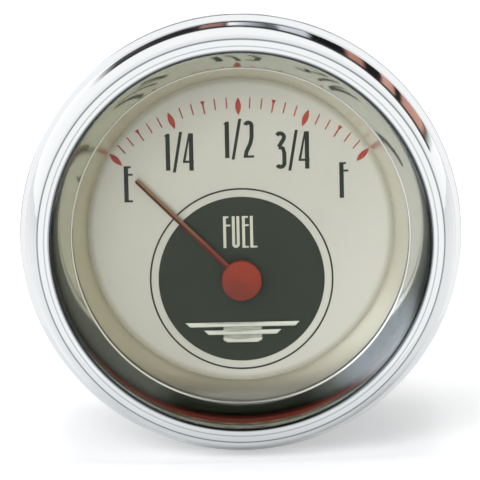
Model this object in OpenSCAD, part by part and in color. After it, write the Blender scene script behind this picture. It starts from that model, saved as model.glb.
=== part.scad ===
// Panel fuel gauge with a crossed-coil movement, a stepped bezel and a clamp with two thumb nuts.
// Millimetres. The dial faces -Y, +Z is twelve o'clock and the panel's front face lies at Y = 0.
// Every piece is drawn flat, with x to the right, y up and z towards the viewer, and then stood up.

/* [Bezel] */
// Outer diameter over the rolled bead
bezel_d = 60.3; // [56:0.1:68]
// Width of the metal outside the case flange
bead_w = 1.4; // [1.2:0.05:1.6]
// Radius of the rolled bead's section
bead_r = 0.8; // [0.7:0.05:0.95]
// Thickness of the edge rolled behind the case flange
roll_t = 0.8; // [0.6:0.1:1]
// Thickness of the spun metal
bezel_t = 0.8; // [0.5:0.1:0.9]
// Height of the step wall above the bead
step_h = 3.4; // [3:0.1:4]
// Inward lean of the step wall
step_lean = 0.35; // [0.1:0.05:0.45]
// Radius of the shoulder
shoulder_r = 0.4; // [0.2:0.05:0.5]
// Height of the polished cone above the ledge
cone_h = 4.95; // [4.5:0.05:5.4]
// Distance from the bezel's outer edge in to the lip
lip_in = 4.05; // [3.8:0.05:4.2]
// Distance from the lip in to the ledge at the cone's foot
ledge_in = 3.2; // [3:0.05:3.6]
// Thickness of the ledge's edge
ledge_t = 0.4; // [0.3:0.05:0.6]
// Angle between the cone's foot and the axis
cone_angle = 24; // [22:0.5:26]
// Angle between the cone's mouth and the axis
mouth_angle = 31; // [28:1:34]
// Distance from the lip out to the deep groove
groove_out = 1.5; // [1.4:0.05:1.7]
// Distance from the lip out to the fine groove
fine_groove_out = 0.7; // [0.5:0.05:0.9]
// Distance from the deep groove out to the top of the slope
reed_w = 0.4; // [0.2:0.05:0.5]
// Depth of the slope's top below the lip
reed_drop = 1.15; // [0.9:0.05:1.4]
// Depth of the deep groove below the lip
groove_drop = 0.3; // [0.2:0.05:0.5]

/* [Lens] */
// Distance from the case flange's edge in to the glass
lens_in = 0.8; // [0.7:0.05:1.2]
// Thickness of the glass
lens_t = 1.5; // [1.2:0.1:2]
// Thickness of the rubber gasket
gasket_t = 0.4; // [0.3:0.05:0.6]

/* [Case] */
// Width of the mouth flange outside the register that fills the panel hole
flange_w = 1.8; // [1.6:0.05:2]
// Step from the register in to the cup behind it
case_step = 1.2; // [1:0.05:1.5]
// Thickness of the drawn steel
case_t = 0.8; // [0.6:0.1:1]
// Radius of the cup's rear corner
case_corner_r = 2; // [1:0.1:3]
// Radius of the bend between the register and the flange
flange_bend_r = 0.8; // [0.5:0.1:0.8]

/* [Dial] */
// Depth of the dial's face behind the panel's front face
dial_drop = 3.5; // [3:0.1:4]
// Thickness of the dial
dial_t = 0.8; // [0.5:0.1:1]
// Distance from the ledge in to the edge of the dial that shows
dial_in = 1.8; // [1.6:0.05:2.2]
// Thickness of the ring's metal
ring_t = 0.5; // [0.4:0.05:0.6]
// Distance of the pointer's axis below the dial's centre
pivot_drop = 6.9; // [6.6:0.05:7.2]
// Height of the ornament's uppermost bar above the dial's bottom edge
ornament_h = 8.25; // [7.9:0.05:8.6]
// Width of the ornament's longest bar
ornament_w = 16; // [14:0.5:17]
// Height of one ornament bar
ornament_bar_h = 0.7; // [0.5:0.05:0.8]
// Gap between two ornament bars
ornament_gap = 0.4; // [0.3:0.05:0.5]
// Thickness of the ornament
ornament_t = 0.5; // [0.3:0.05:0.6]

/* [Pointer] */
// Length of the pointer from its axis to its tip
pointer_l = 20.1; // [19:0.1:20.6]
// Width of the pointer at its hub
pointer_w = 0.9; // [0.7:0.05:1.2]
// Width of the pointer where its point starts
pointer_tip_w = 0.6; // [0.4:0.05:0.7]
// Thickness of the pointer
pointer_t = 0.35; // [0.25:0.05:0.5]
// Height of the pointer's underside above the dial
pointer_lift = 1.2; // [1:0.1:1.5]
// Angle between the empty mark and twelve o'clock
empty_angle = 45; // [40:1:50]
// Diameter of the pointer's hub under the cap
pointer_hub_d = 3.8; // [3:0.1:3.9]
// Diameter of the hub cap
cap_d = 5.54; // [5.4:0.02:6]
// Height of the cap's rim above the pointer
cap_rim_h = 0.45; // [0.4:0.05:0.8]
// Rise of the cap's crown above its rim
cap_crown_h = 0.4; // [0.2:0.05:0.6]
// Depth of the cap's skirt beside the pointer
cap_skirt_h = 0.7; // [0.5:0.05:0.9]
// Diameter of the spindle
spindle_d = 1.5; // [1.2:0.1:1.6]

/* [Movement] */
// Width of the bobbin
bobbin_w = 15; // [14.4:0.1:15.2]
// Height of one bobbin half's body
bobbin_half_h = 6; // [5.5:0.1:6.2]
// Width of the winding space between the bobbin's corner posts
winding_w = 10.2; // [9.8:0.1:10.4]
// Depth of one winding
winding_t = 1.6; // [1.4:0.05:1.7]
// Slit between the two halves of a winding, for the spindle's boss
winding_slit = 2.6; // [2.5:0.1:3]
// Diameter of the rotor magnet
magnet_d = 9; // [8:0.1:9.4]
// Thickness of the rotor magnet
magnet_t = 3; // [2.5:0.1:3.4]
// Air gap round the rotor magnet
magnet_gap = 0.3; // [0.2:0.05:0.4]
// Gap between the bobbin's corners and the shield can
can_gap = 0.4; // [0.3:0.05:0.6]
// Thickness of the shield can
can_t = 0.5; // [0.4:0.05:0.6]
// Thickness of the movement plate
plate_t = 1.2; // [1:0.1:1.6]
// Gap between the cup's wall and the edges of the plate and the board
plate_gap = 0.7; // [0.4:0.1:1]
// Gap between the shield can and the circuit board
board_gap = 2.8; // [2.6:0.1:4]
// Thickness of the circuit board
board_t = 1.6; // [1:0.1:1.7]
// Distance from the plate's edge in to the four posts
post_in = 4.2; // [3.6:0.1:4.8]
// Angle of the upper posts above the horizontal
post_up_angle = 40; // [36:1:44]
// Angle of the lower posts below the horizontal
post_down_angle = 28; // [24:1:32]
// Diameter of a post
post_d = 4; // [3.4:0.1:4.4]
// Length of a post's screw in the post
post_screw_l = 5; // [4:0.5:8]
// Thickness of a post screw's head
post_screw_head_h = 1.2; // [0.8:0.1:1.5]

/* [Terminals] */
// Distance from the cup's outside in to the three terminals
terminal_in = 9.3; // [8.8:0.1:9.6]
// Angle between two terminals, seen from the case's axis
terminal_step = 38; // [37:0.5:40]
// Diameter of the terminal thread
terminal_d = 4.16; // [4:0.02:4.2]
// Diameter of the relief groove behind a terminal's nut
terminal_relief_d = 3.4; // [3:0.1:3.6]
// Width of the relief groove
terminal_relief_w = 0.6; // [0.6:0.05:1]
// Length of a terminal's free end behind the relief groove
terminal_free_l = 7; // [5:0.5:9]
// Diameter of the insulators
insulator_d = 10; // [9:0.1:10.2]
// Diameter of the insulator's neck in the case
neck_d = 7; // [6:0.1:7.4]
// Thickness of the outer insulator
insulator_t = 1; // [0.8:0.1:1.5]
// Width of a terminal nut over its flats
nut_af = 8.7; // [8:0.1:8.8]
// Thickness of a terminal nut
nut_t = 3.2; // [2.5:0.1:4]
// Thickness of every steel washer
washer_t = 0.8; // [0.6:0.1:1]

/* [Clamp] */
// Distance from the inside of a clamp leg in to the mounting stud's axis
stud_in = 12.2; // [11.4:0.1:12.8]
// Diameter of the mounting studs
stud_d = 4.16; // [4:0.02:4.2]
// Length of the mounting studs behind the case
stud_l = 18; // [17:0.5:22]
// Distance from the register out to the inside of a clamp leg
leg_out = 1.3; // [1.2:0.1:3]
// Width of the clamp strap
strap_w = 12; // [10:0.5:12]
// Thickness of the clamp strap
strap_t = 1.5; // [1.2:0.1:2]
// Inside radius of the strap's bends
strap_bend_r = 2; // [1:0.1:3]
// Depth of the clamp's feet behind the panel's front face
foot_drop = 6; // [5:0.1:8]
// Gap between the case's back and the strap
strap_gap = 5.2; // [5:0.1:6]
// Diameter of a thumb nut
thumb_d = 13; // [11:0.5:14]
// Thickness of a thumb nut's knurled rim
thumb_h = 4.5; // [3:0.1:5]
// Diameter of a thumb nut's collar
thumb_collar_d = 9; // [8:0.1:10]
// Thickness of a thumb nut's collar
thumb_collar_h = 1.5; // [1:0.1:2]
// Number of ridges round a thumb nut
thumb_ridges = 30; // [24:1:40]
// Depth of the knurling
thumb_knurl = 0.4; // [0.2:0.05:0.5]

/* [Lamp] */
// Distance from the cup's outside in to the lamp's axis
lamp_in = 10.7; // [10.2:0.1:11.2]
// Diameter of the lamp holder inside the case
holder_d = 11; // [10.6:0.1:11.4]
// Length of the lamp holder inside the case
holder_l = 8; // [6:0.5:9]
// Diameter of the holder's flange
holder_flange_d = 14; // [13:0.1:14.6]
// Thickness of the holder's flange
holder_flange_t = 1.5; // [1:0.1:2]
// Length of the holder's grip
holder_grip_l = 7; // [5:0.5:9]
// Width of the holder's grip over its flats
holder_grip_w = 9; // [8:0.1:10]
// Diameter of the bulb's brass base
bulb_base_d = 9; // [8.6:0.1:9.4]
// Diameter of the bulb's glass
bulb_d = 8.6; // [8:0.1:8.8]
// Length of the bulb's glass
bulb_l = 13; // [10:0.5:14]
// Length of the lamp's two tabs
tab_l = 6; // [4:0.5:8]
// Distance between the two tabs
tab_pitch = 4.5; // [4:0.1:5.5]

/* [Fits] */
// Radial clearance of running and threaded fits
run = 0.05; // [0.03:0.01:0.08]
// Radial clearance of pieces that are only placed
loose = 0.1; // [0.06:0.02:0.14]

/* [Hidden] */
$fn = 96;
// Small overlap that makes a cut pass through a face
cut = 1;

// Levels along the axis, towards the viewer
flange_front = roll_t + case_t;
glass_back = flange_front + gasket_t;
glass_front = glass_back + lens_t;
ledge_top = glass_front + ledge_t;
cone_top = ledge_top + cone_h;
dial_face = -dial_drop;
dial_back = dial_face - dial_t;
register_end = dial_back - case_t;
plate_back = dial_back - plate_t;
winding_seat_gap = 0.3;
post_foot_rise = 0.2;
bearing_floor = 0.4;
bobbin_top = plate_back - winding_seat_gap - 2 * winding_t;
bobbin_mid = bobbin_top - bobbin_half_h;
bobbin_bottom = bobbin_mid - bobbin_half_h;
post_foot_h = 2 * winding_t + post_foot_rise;
can_inside_end = bobbin_bottom - post_foot_h - winding_seat_gap;
board_front = can_inside_end - can_t - board_gap;
board_back = board_front - board_t;
bushing_h = 3.6;
case_floor = board_back - bushing_h;
case_back = case_floor - case_t;
nut_seat = case_back - insulator_t - washer_t;
strap_front = case_back - strap_gap;
strap_back = strap_front - strap_t;
thumb_seat = strap_back - washer_t;
foot_level = -foot_drop;

// Radii from the axis
bezel_r = bezel_d / 2;
flange_r = bezel_r - bead_w - run;
register_r = flange_r - flange_w;
case_r = register_r - case_step;
lens_r = flange_r - lens_in;
plate_r = case_r - case_t - plate_gap;
post_circle_r = plate_r - post_in;
terminal_circle_r = case_r - terminal_in;
lamp_y = case_r - lamp_in;
leg_x = register_r + leg_out;
stud_x = leg_x - stud_in;
can_r = bobbin_w / sqrt(2) + can_gap + can_t;
roll_in_r = register_r + flange_bend_r + loose;
bead_top_r = bezel_r - bead_r;
shoulder_out_r = bead_top_r - step_lean;
lip_r = bezel_r - lip_in;
ledge_r = lip_r - ledge_in;
lip_round_r = (lip_r - cone_r(1)) / cos(mouth_angle);
lip_top = cone_top + lip_round_r * (1 - sin(mouth_angle));
groove_r = lip_r + groove_out;
fine_groove_r = lip_r + fine_groove_out;
dial_view_r = ledge_r - dial_in;
dial_r = register_r - case_t - loose;
pivot = [0, -pivot_drop];
spindle_r = spindle_d / 2;
screw_d = 1.4;
screw_head_d = 2.4;
screw_head_h = 0.7;
screw_end = bobbin_mid + 1;
screw_room = 0.5;
board_hole_gap = 0.5;
bulb_gap = 0.5;
cap_wall = 0.1;
post_screw_head_d = 3.4;
terminal_head_d = 7;
shoulder_angle = 60;
washer_d = 9;
tab_w = 4;
tab_t = 0.8;

function arc(centre, radius, from, to, steps) = [
    for (i = [0:steps])
        let (a = from + (to - from) * i / steps)
            centre + radius * [cos(a), sin(a)]
];

// A low bulge from p to q, on the side that faces up when the line runs inwards
function bulge(p, q, rise, steps) = let (d = q - p, up = [d.y, -d.x] / norm(d)) [
    for (i = [1:steps])
        let (s = i / steps)
            p + s * d + 4 * rise * s * (1 - s) * up
];

// Radius of the polished cone at a share u of its height, opening from its foot to its mouth
function cone_r(u) =
    let (foot = tan(cone_angle), mouth = tan(mouth_angle))
        ledge_r + cone_h * (foot * u + (mouth - foot) * pow(u, 3) / 3);

module stand() {
    rotate([90, 0, 0]) children();
}

// A solid turned about the gauge's axis, from points of radius and level
module turned(points) {
    rotate_extrude() polygon(points);
}

// A rod between two levels
module rod(d, from, to) {
    translate([0, 0, min(from, to)]) cylinder(d = d, h = abs(to - from));
}

// A flat ring between two levels
module ring(outer_d, inner_d, from, to) {
    difference() {
        rod(outer_d, from, to);
        rod(inner_d, min(from, to) - cut, max(from, to) + cut);
    }
}

module at_posts() {
    for (a = [post_up_angle, 180 - post_up_angle, 180 + post_down_angle, -post_down_angle])
        translate(post_circle_r * [cos(a), sin(a)]) children();
}

module at_terminals() {
    for (i = [-1:1])
        let (a = -90 + i * terminal_step)
            translate(terminal_circle_r * [cos(a), sin(a)]) children();
}

module at_bobbin_corners() {
    corner = (bobbin_w + winding_w) / 4;
    for (sx = [-1, 1], sy = [-1, 1])
        translate([pivot.x + sx * corner, pivot.y + sy * corner]) children();
}

module at_lamp() {
    translate([0, lamp_y]) children();
}

module at_studs() {
    for (s = [-1, 1]) translate([s * stud_x, 0]) children();
}

module bezel() {
    slope_rise = 0.06;
    land_rise = 0.05;
    rib_rise = 0.14;
    edge_rise = 0.1;
    fine_groove_drop = 0.05;
    roll_start = 100;
    cone_steps = 12;
    back_steps = 10;
    back_drop = 0.3;
    shoulder_level = 2 * bead_r + step_h;
    shoulder = arc([shoulder_out_r - shoulder_r, shoulder_level], shoulder_r, 0, shoulder_angle, 4);
    reed = [groove_r + reed_w, lip_top - reed_drop];
    groove = [groove_r, lip_top - groove_drop];
    fine_groove = [fine_groove_r, lip_top - fine_groove_drop];
    lip = [lip_r, lip_top];
    crest = concat(
        bulge(shoulder[4], reed, slope_rise, 4),
        bulge(reed, groove, land_rise, 3),
        bulge(groove, fine_groove, rib_rise, 4),
        bulge(fine_groove, lip, edge_rise, 4)
    );
    lip_roll = arc([lip_r, lip_top - lip_round_r], lip_round_r, roll_start, 180 - mouth_angle, 4);
    cone = [
        for (i = [cone_steps - 1:-1:0])
            [cone_r(i / cone_steps), ledge_top + cone_h * i / cone_steps]
    ];
    back_offset = bezel_t / cos(cone_angle);
    cone_back = [
        for (i = [0:back_steps])
            let (u = i / cone_steps)
                [cone_r(u) + back_offset, ledge_top + cone_h * u - back_drop]
    ];
    color("gainsboro") stand() turned(concat(
        [[roll_in_r, 0]],
        arc([bead_top_r, bead_r], bead_r, -90, 90, 10),
        shoulder,
        crest,
        lip_roll,
        cone,
        [[ledge_r, glass_front]],
        [[cone_back[0].x, glass_front]],
        cone_back,
        [[fine_groove.x, lip_top - bezel_t - groove_drop]],
        [[reed.x - bezel_t, reed.y - bezel_t / 2]],
        [[shoulder_out_r - bezel_t, shoulder_level]],
        [[bead_top_r - bezel_t, flange_front + run]],
        [[flange_r + run, flange_front + run]],
        [[flange_r + run, roll_t]],
        [[roll_in_r, roll_t]]
    ));
}

module lens_gasket() {
    color("dimgray") stand() ring(2 * lens_r, 2 * (register_r - case_t) + 2 * loose, flange_front, glass_back);
}

module lens() {
    color("azure", 0.3) stand() rod(2 * lens_r, glass_back, glass_front);
}

module dial_ring() {
    flange_back = glass_back - ring_t;
    color("tan") stand() turned([
        [dial_view_r, dial_face],
        [dial_view_r + ring_t, dial_face],
        [ledge_r + ring_t, flange_back],
        [dial_r, flange_back],
        [dial_r, glass_back],
        [ledge_r, glass_back]
    ]);
}

module dial_plate() {
    color("silver") stand() difference() {
        rod(2 * dial_r, dial_back, dial_face);
        translate(pivot) rod(2 * spindle_d, dial_back - cut, dial_face + cut);
    }
}

// Three stepped bars on one thin back
module dial_ornament() {
    top = ornament_h - dial_view_r;
    pitch = ornament_bar_h + ornament_gap;
    back_t = 0.15;
    module bar(i, t) {
        w = ornament_w * (1 - i * 0.32);
        y = top - i * pitch - ornament_bar_h / 2;
        slant = ornament_bar_h / 2;
        translate([0, y, dial_face]) linear_extrude(t) polygon([
            [-w / 2, slant], [w / 2, slant], [w / 2 - slant, -slant], [-w / 2 + slant, -slant]
        ]);
    }
    color("ivory") stand() union() {
        for (i = [0:2]) bar(i, ornament_t);
        translate([-ornament_w / 6, top - 2.5 * pitch, dial_face])
            cube([ornament_w / 3, 2.4 * pitch, back_t]);
    }
}

module case() {
    color("darkgray") stand() difference() {
        turned(concat(
            [[0, case_back]],
            arc([case_r - case_corner_r, case_back + case_corner_r], case_corner_r, -90, 0, 6),
            [[case_r, register_end], [register_r, register_end]],
            arc([register_r + flange_bend_r, roll_t - flange_bend_r], flange_bend_r, 180, 90, 5),
            [[flange_r, roll_t], [flange_r, flange_front], [register_r - case_t, flange_front]],
            [[register_r - case_t, dial_back], [case_r - case_t, dial_back]],
            arc([case_r - case_corner_r, case_back + case_corner_r], case_corner_r - case_t, 0, -90, 6),
            [[0, case_floor]]
        ));
        at_terminals() rod(neck_d + 2 * loose, case_back - cut, case_floor + cut);
        at_lamp() rod(holder_d + 2 * run, case_back - cut, case_floor + cut);
        at_studs() rod(stud_d + 2 * loose, case_back - cut, case_floor + cut);
    }
}

module movement_plate() {
    color("goldenrod") stand() difference() {
        rod(2 * plate_r, plate_back, dial_back);
        translate(pivot) rod(2 * spindle_d, plate_back - cut, dial_back + cut);
        at_bobbin_corners() {
            rod(screw_d + 2 * loose, plate_back - cut, dial_back + cut);
            rod(screw_head_d + 2 * loose, dial_back - screw_head_h, dial_back + cut);
        }
    }
}

// A square block with four corner posts that keep the two windings apart
module bobbin_block(body_from, body_to, post_to) {
    post = (bobbin_w - winding_w) / 2;
    translate([pivot.x, pivot.y]) {
        translate([-bobbin_w / 2, -bobbin_w / 2, min(body_from, body_to)])
            cube([bobbin_w, bobbin_w, abs(body_to - body_from)]);
        for (sx = [0, 1], sy = [0, 1])
            translate([
                -bobbin_w / 2 + sx * (bobbin_w - post),
                -bobbin_w / 2 + sy * (bobbin_w - post),
                min(body_from, post_to)
            ])
                cube([post, post, abs(post_to - body_from)]);
    }
}

module magnet_space() {
    half = magnet_t / 2 + magnet_gap;
    translate(pivot) rod(magnet_d + 2 * magnet_gap, bobbin_mid - half, bobbin_mid + half);
}

module bobbin_front() {
    color("ghostwhite") stand() difference() {
        union() {
            bobbin_block(bobbin_mid, bobbin_top, plate_back);
            translate(pivot) rod(winding_slit - 2 * loose, bobbin_top - cut, plate_back);
        }
        magnet_space();
        translate(pivot) rod(spindle_d + 2 * run, bobbin_mid - cut, plate_back + cut);
        at_bobbin_corners() rod(screw_d + 2 * run, screw_end - screw_room, plate_back + cut);
    }
}

module bobbin_rear() {
    color("ghostwhite") stand() difference() {
        bobbin_block(bobbin_mid, bobbin_bottom, bobbin_bottom - post_foot_h);
        magnet_space();
        translate(pivot) rod(spindle_d + 2 * run, bobbin_bottom + bearing_floor, bobbin_mid + cut);
    }
}

// Two closed coils side by side round a core, with a slit between them
module winding(core_w, core_from, core_to) {
    side = (winding_w - winding_slit) / 2 - loose;
    inner_h = core_to - core_from;
    for (s = [-1, 1])
        translate([0, s * (winding_slit + side) / 2, (core_from + core_to) / 2])
            difference() {
                cube([core_w + 2 * winding_t, side, inner_h + 2 * winding_t], center = true);
                cube([core_w, side + cut, inner_h], center = true);
            }
}

module coil_inner() {
    color("sienna") stand() translate(pivot) winding(bobbin_w, bobbin_bottom, bobbin_top);
}

module coil_outer() {
    color("sienna") stand() translate(pivot) rotate(90)
        winding(bobbin_w, bobbin_bottom - winding_t, bobbin_top + winding_t);
}

module shield_can() {
    color("lightslategray") stand() translate(pivot) difference() {
        rod(2 * can_r, can_inside_end - can_t, plate_back);
        rod(2 * (can_r - can_t), can_inside_end, plate_back + cut);
    }
}

module movement_screws() {
    color("lightsteelblue") stand() at_bobbin_corners() {
        rod(screw_head_d, dial_back - screw_head_h, dial_back);
        rod(screw_d, screw_end, dial_back - screw_head_h / 2);
    }
}

module plate_posts() {
    color("goldenrod") stand() at_posts() ring(post_d, screw_d + 2 * run, board_front, plate_back);
}

module post_screws() {
    color("lightsteelblue") stand() at_posts() {
        rod(post_screw_head_d, board_back - post_screw_head_h, board_back);
        rod(screw_d, board_back - post_screw_head_h / 2, board_front + post_screw_l);
    }
}

module circuit_board() {
    color("darkolivegreen") stand() difference() {
        rod(2 * plate_r, board_back, board_front);
        at_posts() rod(screw_d + 2 * loose, board_back - cut, board_front + cut);
        at_terminals() rod(terminal_d + 2 * loose, board_back - cut, board_front + cut);
        at_lamp() rod(holder_d + 2 * board_hole_gap, board_back - cut, board_front + cut);
    }
}

module range_resistor() {
    body_d = 2.4;
    body_l = 7;
    lead_d = 0.6;
    span = 9;
    lamp_clearance = 1.8;
    y = lamp_y - holder_d / 2 - lamp_clearance - body_d / 2;
    color("peru") stand() translate([0, y, board_front + body_d / 2]) {
        rotate([0, 90, 0]) rod(body_d, -body_l / 2, body_l / 2);
        rotate([0, 90, 0]) rod(lead_d, -span / 2, span / 2);
        for (s = [-1, 1])
            translate([s * (span - lead_d) / 2, 0]) rod(lead_d, -body_d / 2, 0);
    }
}

module terminal_studs() {
    head_h = 1.4;
    relief_front = nut_seat - nut_t;
    relief_back = relief_front - terminal_relief_w;
    color("goldenrod") stand() at_terminals() {
        rod(terminal_head_d, board_front, board_front + head_h);
        rod(terminal_d, relief_front, board_front + head_h / 2);
        rod(terminal_relief_d, relief_back - cut, relief_front + cut);
        rod(terminal_d, relief_back - terminal_free_l, relief_back);
    }
}

module terminal_bushings() {
    color("whitesmoke") stand() at_terminals() difference() {
        union() {
            rod(insulator_d, case_floor, board_back);
            rod(neck_d, case_back, board_back);
        }
        rod(terminal_d + 2 * loose, case_back - cut, board_back + cut);
    }
}

module terminal_insulators() {
    color("whitesmoke") stand() at_terminals()
        ring(insulator_d, terminal_d + 2 * loose, case_back - insulator_t, case_back);
}

module terminal_washers() {
    color("lightsteelblue") stand() at_terminals()
        ring(washer_d, terminal_d + 2 * loose, nut_seat, nut_seat + washer_t);
}

module terminal_nuts() {
    color("lightsteelblue") stand() at_terminals() difference() {
        translate([0, 0, nut_seat - nut_t]) cylinder(d = nut_af / cos(30), h = nut_t, $fn = 6);
        rod(terminal_d + 2 * run, nut_seat - nut_t - cut, nut_seat + cut);
    }
}

// Each stud is welded by its flat head to the inside of the case's back
module mounting_studs() {
    head_d = 8;
    head_h = 1;
    color("lightsteelblue") stand() at_studs() {
        rod(head_d, case_floor, case_floor + head_h);
        rod(stud_d, case_back - stud_l, case_floor + head_h / 2);
    }
}

// A flat strap bent into a U that straddles the case
module clamp_bracket() {
    outer_x = leg_x + strap_t;
    outer_bend_r = strap_bend_r + strap_t;
    outline = concat(
        [[-outer_x, foot_level]],
        arc([-leg_x + strap_bend_r, strap_front + strap_bend_r], outer_bend_r, 180, 270, 6),
        arc([leg_x - strap_bend_r, strap_front + strap_bend_r], outer_bend_r, 270, 360, 6),
        [[outer_x, foot_level], [leg_x, foot_level]],
        arc([leg_x - strap_bend_r, strap_front + strap_bend_r], strap_bend_r, 360, 270, 6),
        arc([-leg_x + strap_bend_r, strap_front + strap_bend_r], strap_bend_r, 270, 180, 6),
        [[-leg_x, foot_level]]
    );
    color("lightsteelblue") stand() difference() {
        rotate([90, 0, 0]) linear_extrude(strap_w, center = true) polygon(outline);
        at_studs() rod(stud_d + 4 * loose, strap_back - cut, strap_front + cut);
    }
}

module clamp_washers() {
    color("lightsteelblue") stand() at_studs()
        ring(washer_d, stud_d + 4 * loose, thumb_seat, strap_back);
}

module thumb_nut() {
    collar_back = thumb_seat - thumb_collar_h;
    rim_points = [
        for (i = [0:2 * thumb_ridges - 1])
            let (a = i * 180 / thumb_ridges, r = thumb_d / 2 - (i % 2) * thumb_knurl)
                r * [cos(a), sin(a)]
    ];
    color("khaki") stand() difference() {
        union() {
            rod(thumb_collar_d, collar_back, thumb_seat);
            translate([0, 0, collar_back - thumb_h]) linear_extrude(thumb_h) polygon(rim_points);
        }
        rod(stud_d + 2 * run, collar_back - thumb_h - cut, thumb_seat + cut);
    }
}

module left_thumb_nut() {
    translate([-stud_x, 0, 0]) thumb_nut();
}

module right_thumb_nut() {
    translate([stud_x, 0, 0]) thumb_nut();
}

// A push-in cup with a stop flange and a grip with two flats
module lamp_holder() {
    flange_back = case_back - holder_flange_t;
    grip_back = flange_back - holder_grip_l;
    color("dimgray") stand() at_lamp() difference() {
        union() {
            rod(holder_d, case_back, case_back + holder_l);
            rod(holder_flange_d, flange_back, case_back);
            intersection() {
                rod(holder_d, grip_back, flange_back);
                translate([-holder_d, -holder_grip_w / 2, grip_back])
                    cube([2 * holder_d, holder_grip_w, holder_grip_l]);
            }
        }
        rod(bulb_base_d + 2 * run, flange_back, case_back + holder_l + cut);
        for (s = [-1, 1])
            translate([s * tab_pitch / 2 - tab_t / 2, -tab_w / 2, grip_back - cut])
                cube([tab_t, tab_w, holder_grip_l + cut]);
    }
}

module lamp_bulb() {
    base_back = case_back - holder_flange_t;
    glass_start = case_back + holder_l + bulb_gap;
    dome_r = bulb_d / 2;
    color("lightyellow", 0.6) stand() at_lamp() {
        rod(bulb_base_d, base_back, glass_start);
        rod(bulb_d, glass_start, glass_start + bulb_l - dome_r);
        translate([0, 0, glass_start + bulb_l - dome_r]) sphere(r = dome_r);
    }
}

module lamp_contacts() {
    tab_front = case_back - holder_flange_t;
    color("goldenrod") stand() at_lamp() for (s = [-1, 1])
        translate([s * tab_pitch / 2 - tab_t / 2, -tab_w / 2, tab_front - holder_grip_l - tab_l])
            cube([tab_t, tab_w, holder_grip_l + tab_l]);
}

module at_empty() {
    translate([pivot.x, pivot.y, dial_face + pointer_lift]) rotate(empty_angle) children();
}

module pointer_arm() {
    point_l = 1.2;
    color("firebrick") stand() at_empty() difference() {
        linear_extrude(pointer_t) union() {
            circle(d = pointer_hub_d);
            polygon([
                [-pointer_w / 2, 0], [pointer_w / 2, 0],
                [pointer_tip_w / 2, pointer_l - point_l], [0, pointer_l],
                [-pointer_tip_w / 2, pointer_l - point_l]
            ]);
        }
        rod(spindle_d + 2 * run, -cut, pointer_t + cut);
    }
}

// A turned cap with a low crown, whose skirt is notched where the pointer passes
module pointer_cap() {
    cap_r = cap_d / 2;
    skirt_r = cap_r - 0.75;
    crown_r = (pow(cap_r, 2) + pow(cap_crown_h, 2)) / (2 * cap_crown_h);
    crown_angle = asin(cap_r / crown_r);
    crown = arc([0, cap_rim_h + cap_crown_h - crown_r], crown_r, 90 - crown_angle, 90, 8);
    color("firebrick") stand() at_empty() translate([0, 0, pointer_t]) difference() {
        turned(concat(
            [[0, 0], [skirt_r, 0], [skirt_r, -cap_skirt_h], [cap_r, -cap_skirt_h]],
            crown
        ));
        rod(spindle_d + 2 * run, -cut, cap_rim_h - cap_wall);
        translate([-pointer_w / 2 - run, 0, -cap_skirt_h - cut])
            cube([pointer_w + 2 * run, cap_d, cap_skirt_h + cut]);
    }
}

module pointer_spindle() {
    spindle_top = dial_face + pointer_lift + pointer_t + cap_rim_h - cap_wall;
    color("slategray") stand() translate(pivot) rod(spindle_d, bobbin_bottom + bearing_floor + run, spindle_top);
}

module rotor_magnet() {
    color("darkslategray") stand() translate(pivot)
        ring(magnet_d, spindle_d + 2 * run, bobbin_mid - magnet_t / 2, bobbin_mid + magnet_t / 2);
}

bezel();
lens_gasket();
lens();
dial_ring();
dial_plate();
dial_ornament();
case();
movement_plate();
bobbin_front();
bobbin_rear();
coil_inner();
coil_outer();
shield_can();
movement_screws();
plate_posts();
post_screws();
circuit_board();
range_resistor();
terminal_studs();
terminal_bushings();
terminal_insulators();
terminal_washers();
terminal_nuts();
mounting_studs();
clamp_bracket();
clamp_washers();
left_thumb_nut();
right_thumb_nut();
lamp_holder();
lamp_bulb();
lamp_contacts();
pointer_arm();
pointer_cap();
pointer_spindle();
rotor_magnet();
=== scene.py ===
"""A round panel fuel gauge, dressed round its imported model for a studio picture.

Pieces are drawn in millimetres as on the bench: x to the right, y up, and the level out of the dial,
towards the viewer. at() stands such a point up in the gauge's own frame, in metres.
"""

from math import asin, ceil, cos, pi, radians, sin, sqrt, tan

import bmesh
import bpy
from mathutils import Matrix, Vector

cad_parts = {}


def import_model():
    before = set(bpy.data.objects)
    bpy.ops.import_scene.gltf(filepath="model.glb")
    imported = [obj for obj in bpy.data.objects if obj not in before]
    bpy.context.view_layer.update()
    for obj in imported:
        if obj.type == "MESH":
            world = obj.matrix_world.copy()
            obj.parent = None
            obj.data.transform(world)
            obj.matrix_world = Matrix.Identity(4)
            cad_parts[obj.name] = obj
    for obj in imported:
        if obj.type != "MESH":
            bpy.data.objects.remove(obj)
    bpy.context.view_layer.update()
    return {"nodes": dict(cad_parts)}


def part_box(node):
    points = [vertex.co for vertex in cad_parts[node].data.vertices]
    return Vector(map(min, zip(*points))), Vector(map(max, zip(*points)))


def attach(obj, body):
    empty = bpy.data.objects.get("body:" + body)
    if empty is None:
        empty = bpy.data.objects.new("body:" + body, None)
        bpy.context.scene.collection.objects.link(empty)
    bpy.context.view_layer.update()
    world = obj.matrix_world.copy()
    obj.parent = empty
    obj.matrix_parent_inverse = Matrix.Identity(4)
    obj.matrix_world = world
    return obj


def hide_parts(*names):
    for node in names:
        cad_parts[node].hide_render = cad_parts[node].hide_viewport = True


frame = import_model()

MM = 0.001
WELD = 0.0004 * MM
OUT = Vector((0, -1, 0))
STAND = Matrix.Rotation(radians(90), 4, "X") @ Matrix.Scale(MM, 4)


# Frame measures


def level_of(node, side):
    """The front or rear level of a node, in millimetres out of the panel's front face."""
    low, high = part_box(node)
    return -(low.y if side == "front" else high.y) / MM


def radius_of(node):
    low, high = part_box(node)
    return (high.x - low.x) / 2 / MM


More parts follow.
